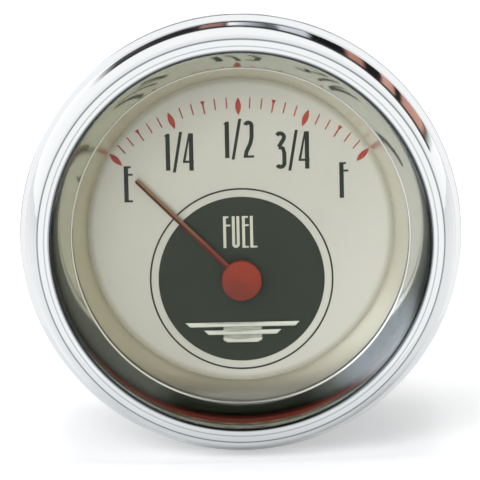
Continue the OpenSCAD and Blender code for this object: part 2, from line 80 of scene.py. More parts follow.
def middle_of(node):
    """The middle of a node's face: how far right of the axis and how far above it."""
    low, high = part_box(node)
    return (low.x + high.x) / 2 / MM, (low.z + high.z) / 2 / MM


BEZEL_R = radius_of("bezel")
GROOVE_R = BEZEL_R - 2.8
FINE_GROOVE_R = BEZEL_R - 3.7
LEDGE_T = 0.4
LEDGE_TOP = level_of("lens", "front") + LEDGE_T
DIAL_FACE = level_of("dial_plate", "front")
DIAL_R = radius_of("dial_plate")
CASE_BACK = level_of("case", "rear")
CASE_T = 0.8
FLANGE_R = radius_of("case")
REGISTER_R = FLANGE_R - 1.8
CASE_R = REGISTER_R - 1.2
PIVOT_Y = middle_of("rotor_magnet")[1]
LEDGE_R = 22.9
DIAL_VIEW_R = 21.1
ARM_LIFT = 1.2
ARM_T = 0.35
INK_T = 0.03
STUD_X = middle_of("right_thumb_nut")[0]
STUD_R = 2.08
STUD_ROOM = STUD_R + 0.1
STRAP_ROOM = STUD_R + 0.2
NUT_BORE = STUD_R + 0.05
WASHER_R = 4.5
WASHER_T = 0.8
LAMP_Y = middle_of("lamp_holder")[1]
TERMINAL_RING = 16.4
TERMINAL_STEP = 38.0
THREAD_PITCH = 0.79375
THREAD_DEPTH = 0.42
POINTER_ANGLE = 45.0


# Modelling


def at(x, y, level):
    return Vector((x, -level, y)) * MM


def arc(cx, cy, r, start, end, steps):
    """Points on an arc, from one angle to another in degrees."""
    turns = [radians(start + (end - start) * i / steps) for i in range(steps + 1)]
    return [(cx + r * cos(a), cy + r * sin(a)) for a in turns]


def turn(bm, profile, centre=(0, 0), steps=96):
    """Spins a profile of radius and level about a line out of the dial.

    A profile that starts off the axis is closed into a ring.
    """
    verts = [bm.verts.new(at(centre[0] + r, centre[1], level)) for r, level in profile]
    pairs = list(zip(verts, verts[1:]))
    if profile[0][0] > 0:
        pairs.append((verts[-1], verts[0]))
    edges = [bm.edges.new(pair) for pair in pairs]
    bmesh.ops.spin(
        bm, geom=verts + edges, cent=at(*centre, 0), axis=OUT, dvec=(0, 0, 0),
        angle=2 * pi, steps=steps, use_merge=True,
    )


def thread(bm, centre, low, high, r=STUD_R, steps=32, chamfer=0.5):
    """A right-handed thread: one tooth spun along its helix, cut flat at both ends and capped."""
    turns = ceil((high - low) / THREAD_PITCH) + 3
    tooth = [(r - THREAD_DEPTH, 0), (r, 0.38), (r, 0.55), (r - THREAD_DEPTH, 0.93), (r - THREAD_DEPTH, 1)]
    foot = low - 1.5 * THREAD_PITCH
    others = set(bm.verts)
    verts = [bm.verts.new(at(centre[0] + x, centre[1], foot + share * THREAD_PITCH)) for x, share in tooth]
    edges = [bm.edges.new(pair) for pair in zip(verts, verts[1:])]
    bmesh.ops.spin(
        bm, geom=verts + edges, cent=at(*centre, 0), axis=OUT, dvec=OUT * THREAD_PITCH * MM / steps,
        angle=2 * pi * turns, steps=turns * steps, use_merge=False,
    )
    bmesh.ops.remove_doubles(bm, verts=[v for v in bm.verts if v not in others], dist=WELD)
    for level, outwards in ((low, -OUT), (high, OUT)):
        mine = [v for v in bm.verts if v not in others]
        edges = dict.fromkeys(e for v in mine for e in v.link_edges)
        faces = dict.fromkeys(f for v in mine for f in v.link_faces)
        cut = bmesh.ops.bisect_plane(
            bm, geom=[*mine, *edges, *faces], dist=WELD / 10, plane_co=at(0, 0, level), plane_no=outwards,
            clear_outer=True,
        )
        rim = [e for e in cut["geom_cut"] if isinstance(e, bmesh.types.BMEdge)]
        bmesh.ops.contextual_create(bm, geom=rim)
    for v in bm.verts:
        if v in others:
            continue
        level = -v.co.y / MM
        room = r - max(0, chamfer - min(level - low, high - level))
        x, y = v.co.x / MM - centre[0], v.co.z / MM - centre[1]
        here = sqrt(x * x + y * y)
        if here > room:
            v.co = at(centre[0] + x * room / here, centre[1] + y * room / here, level)


def piece(name, bm, finish, sharp=32):
    """Closes and smooths a mesh and hands it over as an object at the origin."""
    bmesh.ops.remove_doubles(bm, verts=bm.verts, dist=WELD)
    bmesh.ops.recalc_face_normals(bm, faces=bm.faces)
    for face in bm.faces:
        face.smooth = True
    for edge in bm.edges:
        edge.smooth = len(edge.link_faces) != 2 or edge.calc_face_angle() < radians(sharp)
    mesh = bpy.data.meshes.new(name)
    bm.to_mesh(mesh)
    bm.free()
    mesh.materials.append(finish)
    made = bpy.data.objects.new(name, mesh)
    bpy.context.collection.objects.link(made)
    return made


def spun(name, profile, finish, centre=(0, 0), steps=96, sharp=32):
    """A piece made by spinning one profile."""
    bm = bmesh.new()
    turn(bm, profile, centre, steps)
    return piece(name, bm, finish, sharp)


def carve(name, solid, tool, finish, operation="DIFFERENCE"):
    """The solid less the tool, or what the two share, as one clean piece."""
    modifier = solid.modifiers.new("carve", "BOOLEAN")
    modifier.object = tool
    modifier.operation = operation
    modifier.solver = "EXACT"
    carved = solid.evaluated_get(bpy.context.evaluated_depsgraph_get())
    bm = bmesh.new()
    bm.from_mesh(carved.to_mesh())
    carved.to_mesh_clear()
    bpy.data.objects.remove(solid)
    bpy.data.objects.remove(tool)
    return piece(name, bm, finish)


def soften(bm, edges, width_mm):
    """Rounds sharp edges off."""
    bmesh.ops.bevel(
        bm, geom=edges, offset=width_mm * MM, segments=3, profile=0.5, affect="EDGES", material=-1
    )


def slab(bm, middle, size):
    """A plain block, given its middle and its width, height and thickness."""
    corners = bmesh.ops.create_cube(bm, size=1)["verts"]
    w, h, t = [length * MM for length in size]
    place = Matrix.Translation(at(*middle)) @ Matrix.Diagonal((w, t, h, 1))
    bmesh.ops.transform(bm, matrix=place, verts=corners)


def prism(bm, outline, depth):
    """A flat outline of points, drawn out along a direction."""
    face = bm.faces.new([bm.verts.new(point) for point in outline])
    raised = bmesh.ops.extrude_face_region(bm, geom=[face])["geom"]
    bmesh.ops.translate(bm, vec=depth, verts=[v for v in raised if isinstance(v, bmesh.types.BMVert)])


def drills(holes, low, high, finish, steps=48):
    """Plain rods that drill holes, each given by its place and radius."""
    bm = bmesh.new()
    for centre, r in holes:
        turn(bm, [(0, low), (r, low), (r, high), (0, high)], centre, steps)
    return piece("drills", bm, finish)


def printed(name, outlines, ink, level=DIAL_FACE, thickness=INK_T):
    """Flat shapes printed on the dial. An outline that lies inside another is a hole."""
    curve = bpy.data.curves.new(name, "CURVE")
    curve.dimensions = "2D"
    curve.fill_mode = "BOTH"
    curve.extrude = thickness / 2
    for outline in outlines:
        spline = curve.splines.new("POLY")
        spline.points.add(len(outline) - 1)
        for point, (x, y) in zip(spline.points, outline):
            point.co = (x, y, 0, 1)
        spline.use_cyclic_u = True
    drawn = bpy.data.objects.new(name, curve)
    bpy.context.collection.objects.link(drawn)
    bm = bmesh.new()
    evaluated = drawn.evaluated_get(bpy.context.evaluated_depsgraph_get())
    bm.from_mesh(evaluated.to_mesh())
    evaluated.to_mesh_clear()
    bpy.data.objects.remove(drawn)
    bmesh.ops.transform(bm, matrix=STAND @ Matrix.Translation((0, 0, level + thickness / 2)), verts=bm.verts)
    return piece(name, bm, ink)


# Finishes


def linear(hex_colour):
    """A colour written as sRGB hex, as linear light."""
    parts = [int(hex_colour[i:i + 2], 16) / 255 for i in (1, 3, 5)]
    return (*[c / 12.92 if c <= 0.04045 else ((c + 0.055) / 1.055) ** 2.4 for c in parts], 1)


def per(size_mm):
    """How many features of that size fit in a metre, as a noise scale."""
    return 1 / (size_mm * MM)


# Every mix is one of colours, and is read at its third output.
USUAL = {"Mix": (2, {"data_type": "RGBA"})}


def add(tree, kind, inputs, out=None, to=None, stops=(), **settings):
    """Adds a shader node with its settings, and returns one of its outputs.

    Inputs are links, values or sRGB hex colours, stops are a ramp's places and colours, and the
    output is also linked on to a socket if one is given.
    """
    made = tree.nodes.new("ShaderNode" + kind)
    usual_out, usual_settings = USUAL.get(kind, (0, {}))
    out = usual_out if out is None else out
    for key, value in {**usual_settings, **settings}.items():
        setattr(made, key, value)
    for key, value in inputs.items():
        if isinstance(value, bpy.types.NodeSocket):
            tree.links.new(value, made.inputs[key])
        else:
            made.inputs[key].default_value = linear(value) if isinstance(value, str) else value
    for _ in stops[2:]:
        made.color_ramp.elements.new(0.5)
    for i, (place, colour) in enumerate(stops):
        made.color_ramp.elements[i].position = place
        made.color_ramp.elements[i].color = linear(colour)
    if to is not None:
        tree.links.new(made.outputs[out], to)
    return made.outputs[out]


def start(name, colour, metallic, roughness, **sockets):
    """A material with its shader set. Returns it, its tree, its shader's inputs and object coordinates."""
    made = bpy.data.materials.new(name)
    made.use_nodes = True
    tree = made.node_tree
    surface = tree.nodes["Principled BSDF"].inputs
    surface["Base Color"].default_value = linear(colour)
    surface["Metallic"].default_value = metallic
    surface["Roughness"].default_value = roughness
    for key, value in sockets.items():
        surface[key.replace("_", " ")].default_value = value
    return made, tree, surface, add(tree, "TexCoord", {}, "Object")


def mottle(tree, surface, where, size_mm, detail=2.0, colours=None, roughness=None, rough=0.5):
    """Soft clouds of one size that vary a finish's colour, its roughness or both."""
    puffs = {"Vector": where, "Scale": per(size_mm), "Detail": detail, "Roughness": rough}
    cloud = add(tree, "TexNoise", puffs)
    if colours:
        add(tree, "Mix", {"Factor": cloud, 6: colours[0], 7: colours[1]}, to=surface["Base Color"])
    if roughness:
        low, high = roughness
        add(tree, "MapRange", {"Value": cloud, "To Min": low, "To Max": high}, to=surface["Roughness"])


def grain(tree, surface, where, size_mm, depth_mm, strength=1.0, detail=2.0):
    """Fine grain of one size, raised by a real depth."""
    height = add(tree, "TexNoise", {"Vector": where, "Scale": per(size_mm), "Detail": detail})
    emboss = {"Height": height, "Distance": depth_mm * MM, "Strength": strength}
    add(tree, "Bump", emboss, to=surface["Normal"])


def off_axis(tree, where):
    """How far a place lies from the gauge's axis."""
    flat = add(tree, "VectorMath", {0: where, 1: (1, 0, 1)}, "Vector", operation="MULTIPLY")
    return add(tree, "VectorMath", {0: flat}, "Value", operation="LENGTH")


def rise(tree, where, direction, low, high):
    """Rises softly from 0 to 1 along a direction, or falls where low is above high."""
    along = add(tree, "VectorMath", {0: where, 1: direction}, "Value", operation="DOT_PRODUCT")
    ends = {"Value": along, "From Min": low, "From Max": high}
    return add(tree, "MapRange", ends, interpolation_type="SMOOTHSTEP")


def chrome_plate():
    """Bright chrome on spun brass: a clean mirror, with painted shade in its turned grooves and a painted
    dark reflection in its lip.

    Painted shade dulls the inner cone, and is darkest to the left and at the top.
    """
    bright, reflected_dark = "#dcdedf", "#4b5256"
    made, tree, surface, where = start("chrome_plate", bright, 1.0, 0.05)
    r = off_axis(tree, where)
    cone_end, shade_end = 25.5, 25.4
    # Radii in millimetres, from the inner cone's mouth to the crest's outer groove, with a painted dark
    # reflection inside the lip and painted shade in the grooves.
    low, high = 24.8, 28.0
    place = add(tree, "MapRange", {"Value": r, "From Min": low * MM, "From Max": high * MM})
    grooves = [
        (24.9, bright), (shade_end, bright), (cone_end, reflected_dark), (25.74, reflected_dark), (25.9, bright),
        (FINE_GROOVE_R - 0.14, bright), (FINE_GROOVE_R, "#a6aaad"), (FINE_GROOVE_R + 0.14, bright),
        (GROOVE_R - 0.16, bright), (GROOVE_R - 0.04, "#7d8386"), (GROOVE_R + 0.04, "#7d8386"),
        (GROOVE_R + 0.16, bright),
    ]
    stops = [((x - low) / (high - low), shade) for x, shade in grooves]
    plate = add(tree, "ValToRGB", {"Fac": place}, stops=stops)
    # Painted shade on the inner cone: at least 0.3 of full, and more to the left and at the top.
    side = add(tree, "VectorMath", {0: where, 1: (-1, 0, 0.5)}, "Value", operation="DOT_PRODUCT")
    ends = {"Value": side, "From Min": -24 * MM, "From Max": 24 * MM, "To Min": 0.3}
    thickness = add(tree, "MapRange", ends)
    ends = {"Value": r, "From Min": cone_end * MM, "From Max": shade_end * MM}
    inside = add(tree, "MapRange", ends, interpolation_type="SMOOTHSTEP")
    cone_shade = add(tree, "Math", {0: inside, 1: thickness}, operation="MULTIPLY")
    add(tree, "Mix", {"Factor": cone_shade, 6: plate, 7: "#b0b0a0"}, to=surface["Base Color"])
    mottle(tree, surface, where, 3.0, 4.0, roughness=(0.03, 0.1))
    grain(tree, surface, where, 6.0, 0.004, detail=1.0)
    return made


def zinc_steel():
    """Drawn steel with a satin zinc plate: soft grey with cloudy patches and fine drawing marks."""
    made, tree, surface, where = start("zinc_plated_steel", "#a9adaf", 1.0, 0.36)
    mottle(tree, surface, where, 5.0, 5.0, ("#9da1a3", "#b9bcbd"), (0.28, 0.46), 0.6)
    drawn = add(tree, "Mapping", {"Vector": where, "Scale": (1, 0.05, 1)})
    grain(tree, surface, drawn, 0.25, 0.006, 0.6)
    return made


def brass():
    """Machined brass: warm yellow metal, slightly dulled in the open."""
    made, tree, surface, where = start("machined_brass", "#c9a45a", 1.0, 0.34)
    mottle(tree, surface, where, 2.5, 4.0, ("#b08c48", "#d8b56c"), (0.28, 0.4), 0.6)
    grain(tree, surface, where, 0.2, 0.003, 0.5)
    return made


def satin_nickel():
    """Satin nickel on a spun ring, warm and soft, that blurs the dial into itself, with painted shade to the
    left and painted light to the right.
    """
    made, tree, surface, where = start("satin_nickel", "#d5cfbe", 0.9, 0.32)
    # Painted light and shade: the colour runs from darker at the left to paler at the right.
    right = rise(tree, where, (1, 0, 0), -24 * MM, 24 * MM)
    painted_light = {"Factor": right, 6: "#c8c1ab", 7: "#e2ddd2"}
    add(tree, "Mix", painted_light, to=surface["Base Color"])
    mottle(tree, surface, where, 4.0, 3.0, roughness=(0.28, 0.36))
    return made


def brushed_nickel():
    """Brushed nickel sheet: fine upright grain, with a painted highlight to the lower right and painted shade
    at its rim.

    The grain is drawn wider than real so that it shows at this size.
    """
    made, tree, surface, where = start("brushed_nickel", "#dedbcd", 0.5, 0.25)
    brushed = add(tree, "Mapping", {"Vector": where, "Scale": (1, 1, 0.03)})
    grit = {"Vector": brushed, "Scale": per(0.12), "Detail": 3.0, "Roughness": 0.7}
    strokes = add(tree, "TexNoise", grit)
    sheet = add(tree, "Mix", {"Factor": strokes, 6: "#dad6c8", 7: "#e2dfd2"})
    # A painted highlight brightens the lower right.
    painted_highlight = rise(tree, where, (0.75, 0, -0.66), 4 * MM, 22 * MM)
    sheet = add(tree, "Mix", {"Factor": painted_highlight, 6: sheet, 7: "#ece9dc"})
    # Painted shade darkens the rim, where the dial turns up into the ring.
    r = off_axis(tree, where)
    ends = {"Value": r, "From Min": 20.0 * MM, "From Max": DIAL_VIEW_R * MM, "To Max": 0.6}
    rim = add(tree, "MapRange", ends, interpolation_type="SMOOTHSTEP")
    add(tree, "Mix", {"Factor": rim, 6: sheet, 7: "#a39c80"}, to=surface["Base Color"])
    add(tree, "MapRange", {"Value": strokes, "To Min": 0.23, "To Max": 0.27}, to=surface["Roughness"])
    emboss = {"Height": strokes, "Distance": 0.001 * MM, "Strength": 0.4}
    add(tree, "Bump", emboss, to=surface["Normal"])
    return made


def bright_nickel():
    """Polished nickel on the small stamped bars."""
    made, tree, surface, where = start("bright_nickel", "#dcdccf", 1.0, 0.18)
    mottle(tree, surface, where, 0.8, roughness=(0.12, 0.26))
    return made


def red_paint():
    """Satin red paint on a turned cap, with painted light on one side and painted shade on the other.

    The marks are drawn 0.94 mm apart, wider than real so that they show.
    """
    lit, shaded = "#96351f", "#803325"
    made, tree, surface, where = start("red_satin_paint", lit, 0.0, 0.4, Specular_IOR_Level=0.25)
    hub = add(tree, "Mapping", {"Vector": where, "Location": (0, 0, -PIVOT_Y * MM)})
    axes = add(tree, "SeparateXYZ", {0: hub}).node.outputs
    # Painted light and shade by the angle round the hub.
    angle = add(tree, "Math", {0: axes["X"], 1: axes["Z"]}, operation="ARCTAN2")
    turned = add(tree, "Math", {0: angle, 1: radians(30)}, operation="SUBTRACT")
    facing = add(tree, "Math", {0: turned}, operation="COSINE")
    ends = {"Value": facing, "From Min": -1.0}
    side = add(tree, "MapRange", ends, interpolation_type="SMOOTHSTEP")
    add(tree, "Mix", {"Factor": side, 6: shaded, 7: lit}, to=surface["Base Color"])
    marks = {"Vector": hub, "Scale": per(3.0), "Distortion": 0.0}
    rings = add(tree, "TexWave", marks, "Fac", wave_type="RINGS", rings_direction="Y")
    emboss = {"Height": rings, "Distance": 0.01 * MM, "Strength": 0.5}
    add(tree, "Bump", emboss, to=surface["Normal"])
    return made


def lance_paint():
    """Dark red paint on the lance, with painted shade along its lower flank and a painted tan highlight near
    the tip.
    """
    made, tree, surface, where = start("red_paint_with_painted_light", "#6e3a2b", 0.0, 0.4, Specular_IOR_Level=0.35)
    hub = add(tree, "Mapping", {"Vector": where, "Location": (0, 0, -PIVOT_Y * MM)})
    lean = radians(POINTER_ANGLE)
    # A painted highlight turns the upper flank tan towards the tip.
    near_tip = rise(tree, hub, (-sin(lean), 0, cos(lean)), 4 * MM, 17 * MM)
    upper = add(tree, "Mix", {"Factor": near_tip, 6: "#8a3c2a", 7: "#8f7554"})
    # Painted shade along the lower flank.
    flank = rise(tree, hub, (cos(lean), 0, sin(lean)), -0.06 * MM, 0.08 * MM)
    add(tree, "Mix", {"Factor": flank, 6: "#54261b", 7: upper}, to=surface["Base Color"])
    grain(tree, surface, where, 0.3, 0.004, 0.5)
    return made


def ink(name, colour, variant):
    """Screen-printed ink: matt and slightly uneven where the mesh laid it down."""
    made, tree, surface, where = start(name, colour, 0.0, 0.4, Specular_IOR_Level=0.4)
    mottle(tree, surface, where, 0.5, 3.0, (colour, variant))
    grain(tree, surface, where, 0.15, 0.002, 0.4)
    return made


def clear_glass():
    """Flat clear glass with polished faces and a trace of green that comes and goes."""
    made, tree, surface, where = start(
        "clear_glass", "#fdfefd", 0.0, 0.0, Transmission_Weight=1.0, IOR=1.5, Specular_IOR_Level=0.3
    )
    mottle(tree, surface, where, 20.0, colours=("#fdfefd", "#fafdfb"))
    return made


def moulded(name, first, second, grain_mm):
    """Rubber, plastic, laminate or ceramic as it leaves its mould or press: satin, with a faint grain."""
    made, tree, surface, where = start(name, first, 0.0, 0.45)
    mottle(tree, surface, where, 2.0, 3.0, (first, second))
    mottle(tree, surface, where, 1.0, roughness=(0.38, 0.55))
    grain(tree, surface, where, grain_mm, 0.01, 0.5)
    return made


def enamelled_copper():
    """Windings of enamelled copper wire: glossy ridges 0.94 mm apart, wider than real so that they show."""
    made, tree, surface, where = start("enamelled_copper", "#a8572c", 1.0, 0.3)
    turns = {"Vector": where, "Scale": per(3.0), "Distortion": 0.2}
    wires = add(tree, "TexWave", turns, "Fac", wave_type="BANDS", bands_direction="Y")
    # Painted shade between the turns: darker in the valleys, lighter on the wire tops.
    add(tree, "Mix", {"Factor": wires, 6: "#8a4322", 7: "#b9683a"}, to=surface["Base Color"])
    emboss = {"Height": wires, "Distance": 0.05 * MM, "Strength": 0.8}
    add(tree, "Bump", emboss, to=surface["Normal"])
    return made


CHROME = chrome_plate()
STEEL = zinc_steel()
BRASS = brass()
RING_NICKEL = satin_nickel()
DIAL_NICKEL = brushed_nickel()
BRIGHT = bright_nickel()
RED = red_paint()
POINTER_RED = lance_paint()
GLASS = clear_glass()
DARK_INK = ink("dark_green_ink", "#22291b", "#272e21")
LETTER_INK = ink("letter_ink", "#191e14", "#1f251a")
RED_INK = ink("red_ink", "#b84733", "#a94432")
CREAM_INK = ink("cream_ink", "#d9d6c4", "#cfcbb8")
RUBBER = moulded("black_rubber", "#1a1a1a", "#222221", 0.3)
BLACK = moulded("black_phenolic", "#1b1b1c", "#252526", 0.2)
NYLON = moulded("white_nylon", "#dcdad1", "#e6e4dc", 0.4)
LAMINATE = moulded("green_laminate", "#2b4d2e", "#35593a", 0.3)
CERAMIC = moulded("white_ceramic", "#cfccc0", "#dad7cc", 0.2)
FERRITE = moulded("black_ferrite", "#2b2b2d", "#353537", 0.2)
COPPER = enamelled_copper()


# The front


def bulge(p, q, height, steps=10):
    """A low rounded rib between two points of the bezel's crest."""
    dx, dy = q[0] - p[0], q[1] - p[1]
    length = sqrt(dx * dx + dy * dy)
    return [
        (
            p[0] + s * dx + 4 * height * s * (1 - s) * dy / length,
            p[1] + s * dy - 4 * height * s * (1 - s) * dx / length,
        )
        for s in [i / steps for i in range(1, steps + 1)]
    ]


def bezel():
    """The spun chrome bezel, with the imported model's sizes and finer curves."""
    bead_r, bezel_t, roll_t, roll_in_r = 0.8, 0.8, 0.8, 27.8
    step_top, step_lean, wall_bow = 2 * bead_r + 3.4, 0.35, 2.2
    cone_h, foot, mouth, rim_w = 4.95, radians(23), radians(31), 0.2
    edge_r, edge_drop, lip_r, lip_inset, rim_r, rim_drop = 0.15, 0.13, 0.45, 4.05, 0.05, 0.108
    fine_drop, groove_drop, reed_out, reed_drop = 0.05, 0.22, 0.62, 1.15
    outer_rise, band_rise, back_gap, crest_back_r = 0.076, 0.02, 0.3, 26.8
    bead_x = BEZEL_R - bead_r
    shoulder_x = bead_x - step_lean
    flange_r, flange_front = FLANGE_R + 0.05, roll_t + CASE_T + 0.05

    def cone_r(u):
        """The inner cone's radius at a share of its height. It flares towards its mouth."""
        return LEDGE_R + rim_w + cone_h * (tan(foot) * u + (tan(mouth) - tan(foot)) * u ** 4 / 4)

    lip_level = LEDGE_TOP + cone_h + (BEZEL_R - lip_inset - cone_r(1)) / cos(mouth) * (1 - sin(mouth))
    top = (lip_level - lip_r * (1 - sin(mouth)) - LEDGE_TOP) / cone_h
    lip_x = cone_r(top) + lip_r * cos(mouth)
    fine_groove = (FINE_GROOVE_R, lip_level - fine_drop)
    groove = (GROOVE_R, lip_level - groove_drop)
    reed = (GROOVE_R + reed_out, lip_level - reed_drop)
    edge = arc(BEZEL_R - edge_r, 2 * bead_r - edge_drop - edge_r, edge_r, 0, 78, 8)
    bead = arc(bead_x, bead_r, bead_r, -90, 0, 12) + edge + [(bead_x, 2 * bead_r)]
    wall = [
        (bead_x - step_lean * (i / 12) ** wall_bow, 2 * bead_r + (step_top - 2 * bead_r) * i / 12)
        for i in range(1, 13)
    ]
    crest = (
        bulge(wall[-1], reed, outer_rise, 20) + bulge(reed, groove, band_rise)
        + bulge(groove, fine_groove, band_rise)
    )
    lip = arc(lip_x, lip_level - lip_r, lip_r, 85, 149, 18)
    cone = [(cone_r(top * i / 48), LEDGE_TOP + cone_h * top * i / 48) for i in range(47, -1, -1)]
    cone_t = bezel_t / cos(foot)
    cone_back = [(cone_r(i / 12) + cone_t, LEDGE_TOP + cone_h * i / 12 - back_gap) for i in range(11)]
    rim = arc(LEDGE_R + rim_r, LEDGE_TOP - rim_drop, rim_r, 65, 180, 4)
    glass_front = LEDGE_TOP - LEDGE_T
    profile = (
        [(roll_in_r, 0)] + bead + wall + crest + lip + cone + rim
        + [(LEDGE_R, glass_front), (cone_back[0][0], glass_front)] + cone_back
        + [
            (crest_back_r, lip_level - bezel_t - back_gap),
            (reed[0] - bezel_t, reed[1] - bezel_t / 2),
            (shoulder_x - bezel_t, step_top),
            (bead_x - bezel_t, flange_front),
            (flange_r, flange_front),
            (flange_r, roll_t),
            (roll_in_r, roll_t),
        ]
    )
    return spun("bezel_chrome", profile, CHROME, steps=288, sharp=28)


def lens():
    """Flat glass with its corners ground off. It throws no shadow on the dial."""
    back, front, r, chamfer = level_of("lens", "rear"), level_of("lens", "front"), radius_of("lens"), 0.15
    made = spun("lens_glass", [
        (0, back), (r - chamfer, back), (r, back + chamfer), (r, front - chamfer), (r - chamfer, front),
        (0, front),
    ], GLASS, steps=192)
    made.visible_shadow = False
    return made


def dial_ring():
    """A spun ring of thin metal that slopes from the glass down to the dial."""
    back, front, metal = level_of("dial_ring", "rear"), level_of("dial_ring", "front"), 0.5
    return spun("dial_ring_satin", [
        (DIAL_VIEW_R, back), (DIAL_VIEW_R + metal, back), (LEDGE_R + metal, front - metal),
        (DIAL_R, front - metal), (DIAL_R, front), (LEDGE_R, front),
    ], RING_NICKEL, steps=256)


def ornament():
    """Three stepped bars on one thin back, with softened edges."""
    top, w, bar_h, gap, t = 8.25 - DIAL_VIEW_R, 16.0, 0.7, 0.4, 0.5
    taper, lift, back_t, tuck, rows = 0.32, 0.04, 0.11, 0.1, 2.4
    bm = bmesh.new()
    for i in range(3):
        half = w * (1 - i * taper) / 2
        y = top - i * (bar_h + gap)
        corners = [(-half, y), (half, y), (half - bar_h, y - bar_h), (-half + bar_h, y - bar_h)]
        prism(bm, [at(x, z, DIAL_FACE + lift) for x, z in corners], OUT * (t - lift) * MM)
    bmesh.ops.recalc_face_normals(bm, faces=bm.faces)
    soften(bm, list(bm.edges), 0.09)
    back_h = rows * (bar_h + gap)
    slab(bm, (0, top - tuck - back_h / 2, DIAL_FACE + lift + back_t / 2), (w / 3, back_h, back_t))
    return piece("ornament_bars", bm, BRIGHT)


def pointer():
    """A thin lance with a ridge along its middle, on a small hub."""
    lift, edge, hub_r, hub_bore = DIAL_FACE + ARM_LIFT, 0.1, 1.9, 0.8
    length, point_l = 20.1, 0.2
    root, neck, tip = 0.41, 0.34, 0.25
    bm = bmesh.new()
    sections = []
    for y, half, top in ((0, root, ARM_T), (length - point_l, neck, ARM_T), (length, tip, edge + 0.05)):
        corners = [(-half, lift), (-half, lift + edge), (0, lift + top), (half, lift + edge), (half, lift)]
        verts = [bm.verts.new(at(x, y, level)) for x, level in corners]
        sections.append([bm.edges.new(pair) for pair in zip(verts, verts[1:] + verts[:1])])
    for first, second in zip(sections, sections[1:]):
        bmesh.ops.bridge_loops(bm, edges=first + second)
    bmesh.ops.holes_fill(bm, edges=sections[0] + sections[-1], sides=0)
    turn(bm, [(hub_bore, lift), (hub_r, lift), (hub_r, lift + ARM_T), (hub_bore, lift + ARM_T)], steps=48)
    aim = Matrix.Translation(at(0, PIVOT_Y, 0)) @ Matrix.Rotation(radians(-POINTER_ANGLE), 4, "Y")
    bmesh.ops.transform(bm, matrix=aim, verts=bm.verts)
    return piece("pointer_lance", bm, POINTER_RED, sharp=20)


def pointer_cap():
    """A low turned cap with a rounded rim."""
    base = DIAL_FACE + ARM_LIFT + ARM_T
    cap_r, rim_h, crown_h, skirt_h, skirt_w, edge_r = 2.77, 0.45, 0.4, 0.7, 0.75, 0.15
    crown_r = (cap_r ** 2 + crown_h ** 2) / (2 * crown_h)
    lean = asin((cap_r - edge_r) / crown_r) * 180 / pi
    crown = arc(0, base + rim_h + crown_h - crown_r, crown_r, 90 - lean, 90, 20)
    edge = arc(cap_r - edge_r, crown[0][1] - edge_r, edge_r, 0, 75, 6)
    return spun("pointer_cap_red", [
        (0, base), (cap_r - skirt_w, base), (cap_r - skirt_w, base - skirt_h), (cap_r, base - skirt_h),
        *edge, *crown,
    ], RED, (0, PIVOT_Y))


# The printing on the dial


def about_pivot(r, angle):
    """A point at a radius from the pivot, its angle clockwise from twelve o'clock."""
    return (r * sin(radians(angle)), PIVOT_Y + r * cos(radians(angle)))


def lozenge(angle, inner=22.8, outer=25.3, half=0.4, steps=12):
    """A pointed lens shape that lies along a radius."""
    outline = []
    for side in (1, -1):
        for i in range(steps):
            s = i / steps if side == 1 else 1 - i / steps
            r = inner + (outer - inner) * s
            w = side * half * sin(pi * s) ** 0.9
            x, y = about_pivot(r, angle)
            outline.append((x + w * cos(radians(angle)), y - w * sin(radians(angle))))
    return outline


def tick(angle, widths):
    """A line from the pivot outwards, given its width at each radius."""
    outline = []
    for r, w in [(r, -w) for r, w in widths] + widths[::-1]:
        x, y = about_pivot(r, angle)
        outline.append((x + w / 2 * cos(radians(angle)), y - w / 2 * sin(radians(angle))))
    return outline


def graduations():
    """A lozenge at each quarter, and between them fine ticks with a flared one at the middle."""
    quarter, fine = 22.5, 3.75
    shapes = []
    for i in range(-2, 3):
        shapes.append(lozenge(i * quarter))
        for j in range(1, 6) if i < 2 else ():
            angle = i * quarter + j * fine
            if j == 3:
                shapes.append(tick(angle, [(23.5, 0.18), (24.72, 0.22), (25.3, 0.62)]))
            else:
                shapes.append(tick(angle, [(23.75, 0.17), (25.3, 0.17)]))
    return shapes


def stroke(path, w):
    """A band of one width along a path."""
    left, right = [], []
    for i, (x, y) in enumerate(path):
        before, after = path[max(i - 1, 0)], path[min(i + 1, len(path) - 1)]
        dx, dy = after[0] - before[0], after[1] - before[1]
        length = sqrt(dx * dx + dy * dy)
        nx, ny = -dy / length * w / 2, dx / length * w / 2
        left.append((x + nx, y + ny))
        right.append((x - nx, y - ny))
    return left + right[::-1]


def letter_e(x, y, w, h, stem, arm, high=0.79, reach=0.8):
    """A narrow E whose middle arm sits high and reaches furthest."""
    mid = y + h * high
    return [
        (x, y), (x + w * 0.96, y), (x + w * 0.96, y + arm), (x + stem, y + arm), (x + stem, mid - arm),
        (x + w, mid - arm), (x + w, mid), (x + stem, mid), (x + stem, y + h - arm),
        (x + w * reach, y + h - arm), (x + w * reach, y + h), (x, y + h),
    ]


def letter_f(x, y, w, h, stem, arm, high=0.79, reach=0.75):
    """The same letter without its foot."""
    return [(x, y), (x + stem, y)] + letter_e(x, y, w, h, stem, arm, high, reach)[4:]


def letter_l(x, y, w, h, stem, arm):
    return [(x, y), (x + w, y), (x + w, y + arm), (x + stem, y + arm), (x + stem, y + h), (x, y + h)]


def letter_u(x, y, w, h, stem):
    """Two stems joined by a round foot."""
    r = w / 2
    outer = arc(x + r, y + r, r, 180, 360, 12)
    inner = arc(x + r, y + r, r - stem, 360, 180, 12)
    return [(x, y + h)] + outer + [(x + w, y + h), (x + w - stem, y + h)] + inner + [(x + stem, y + h)]


def figure_one(x, y, h, stem):
    flag, drop = 0.22, 0.4
    return [
        (x, y), (x + stem, y), (x + stem, y + h), (x + stem * 0.3, y + h), (x - flag, y + h - drop + 0.05),
        (x, y + h - drop),
    ]


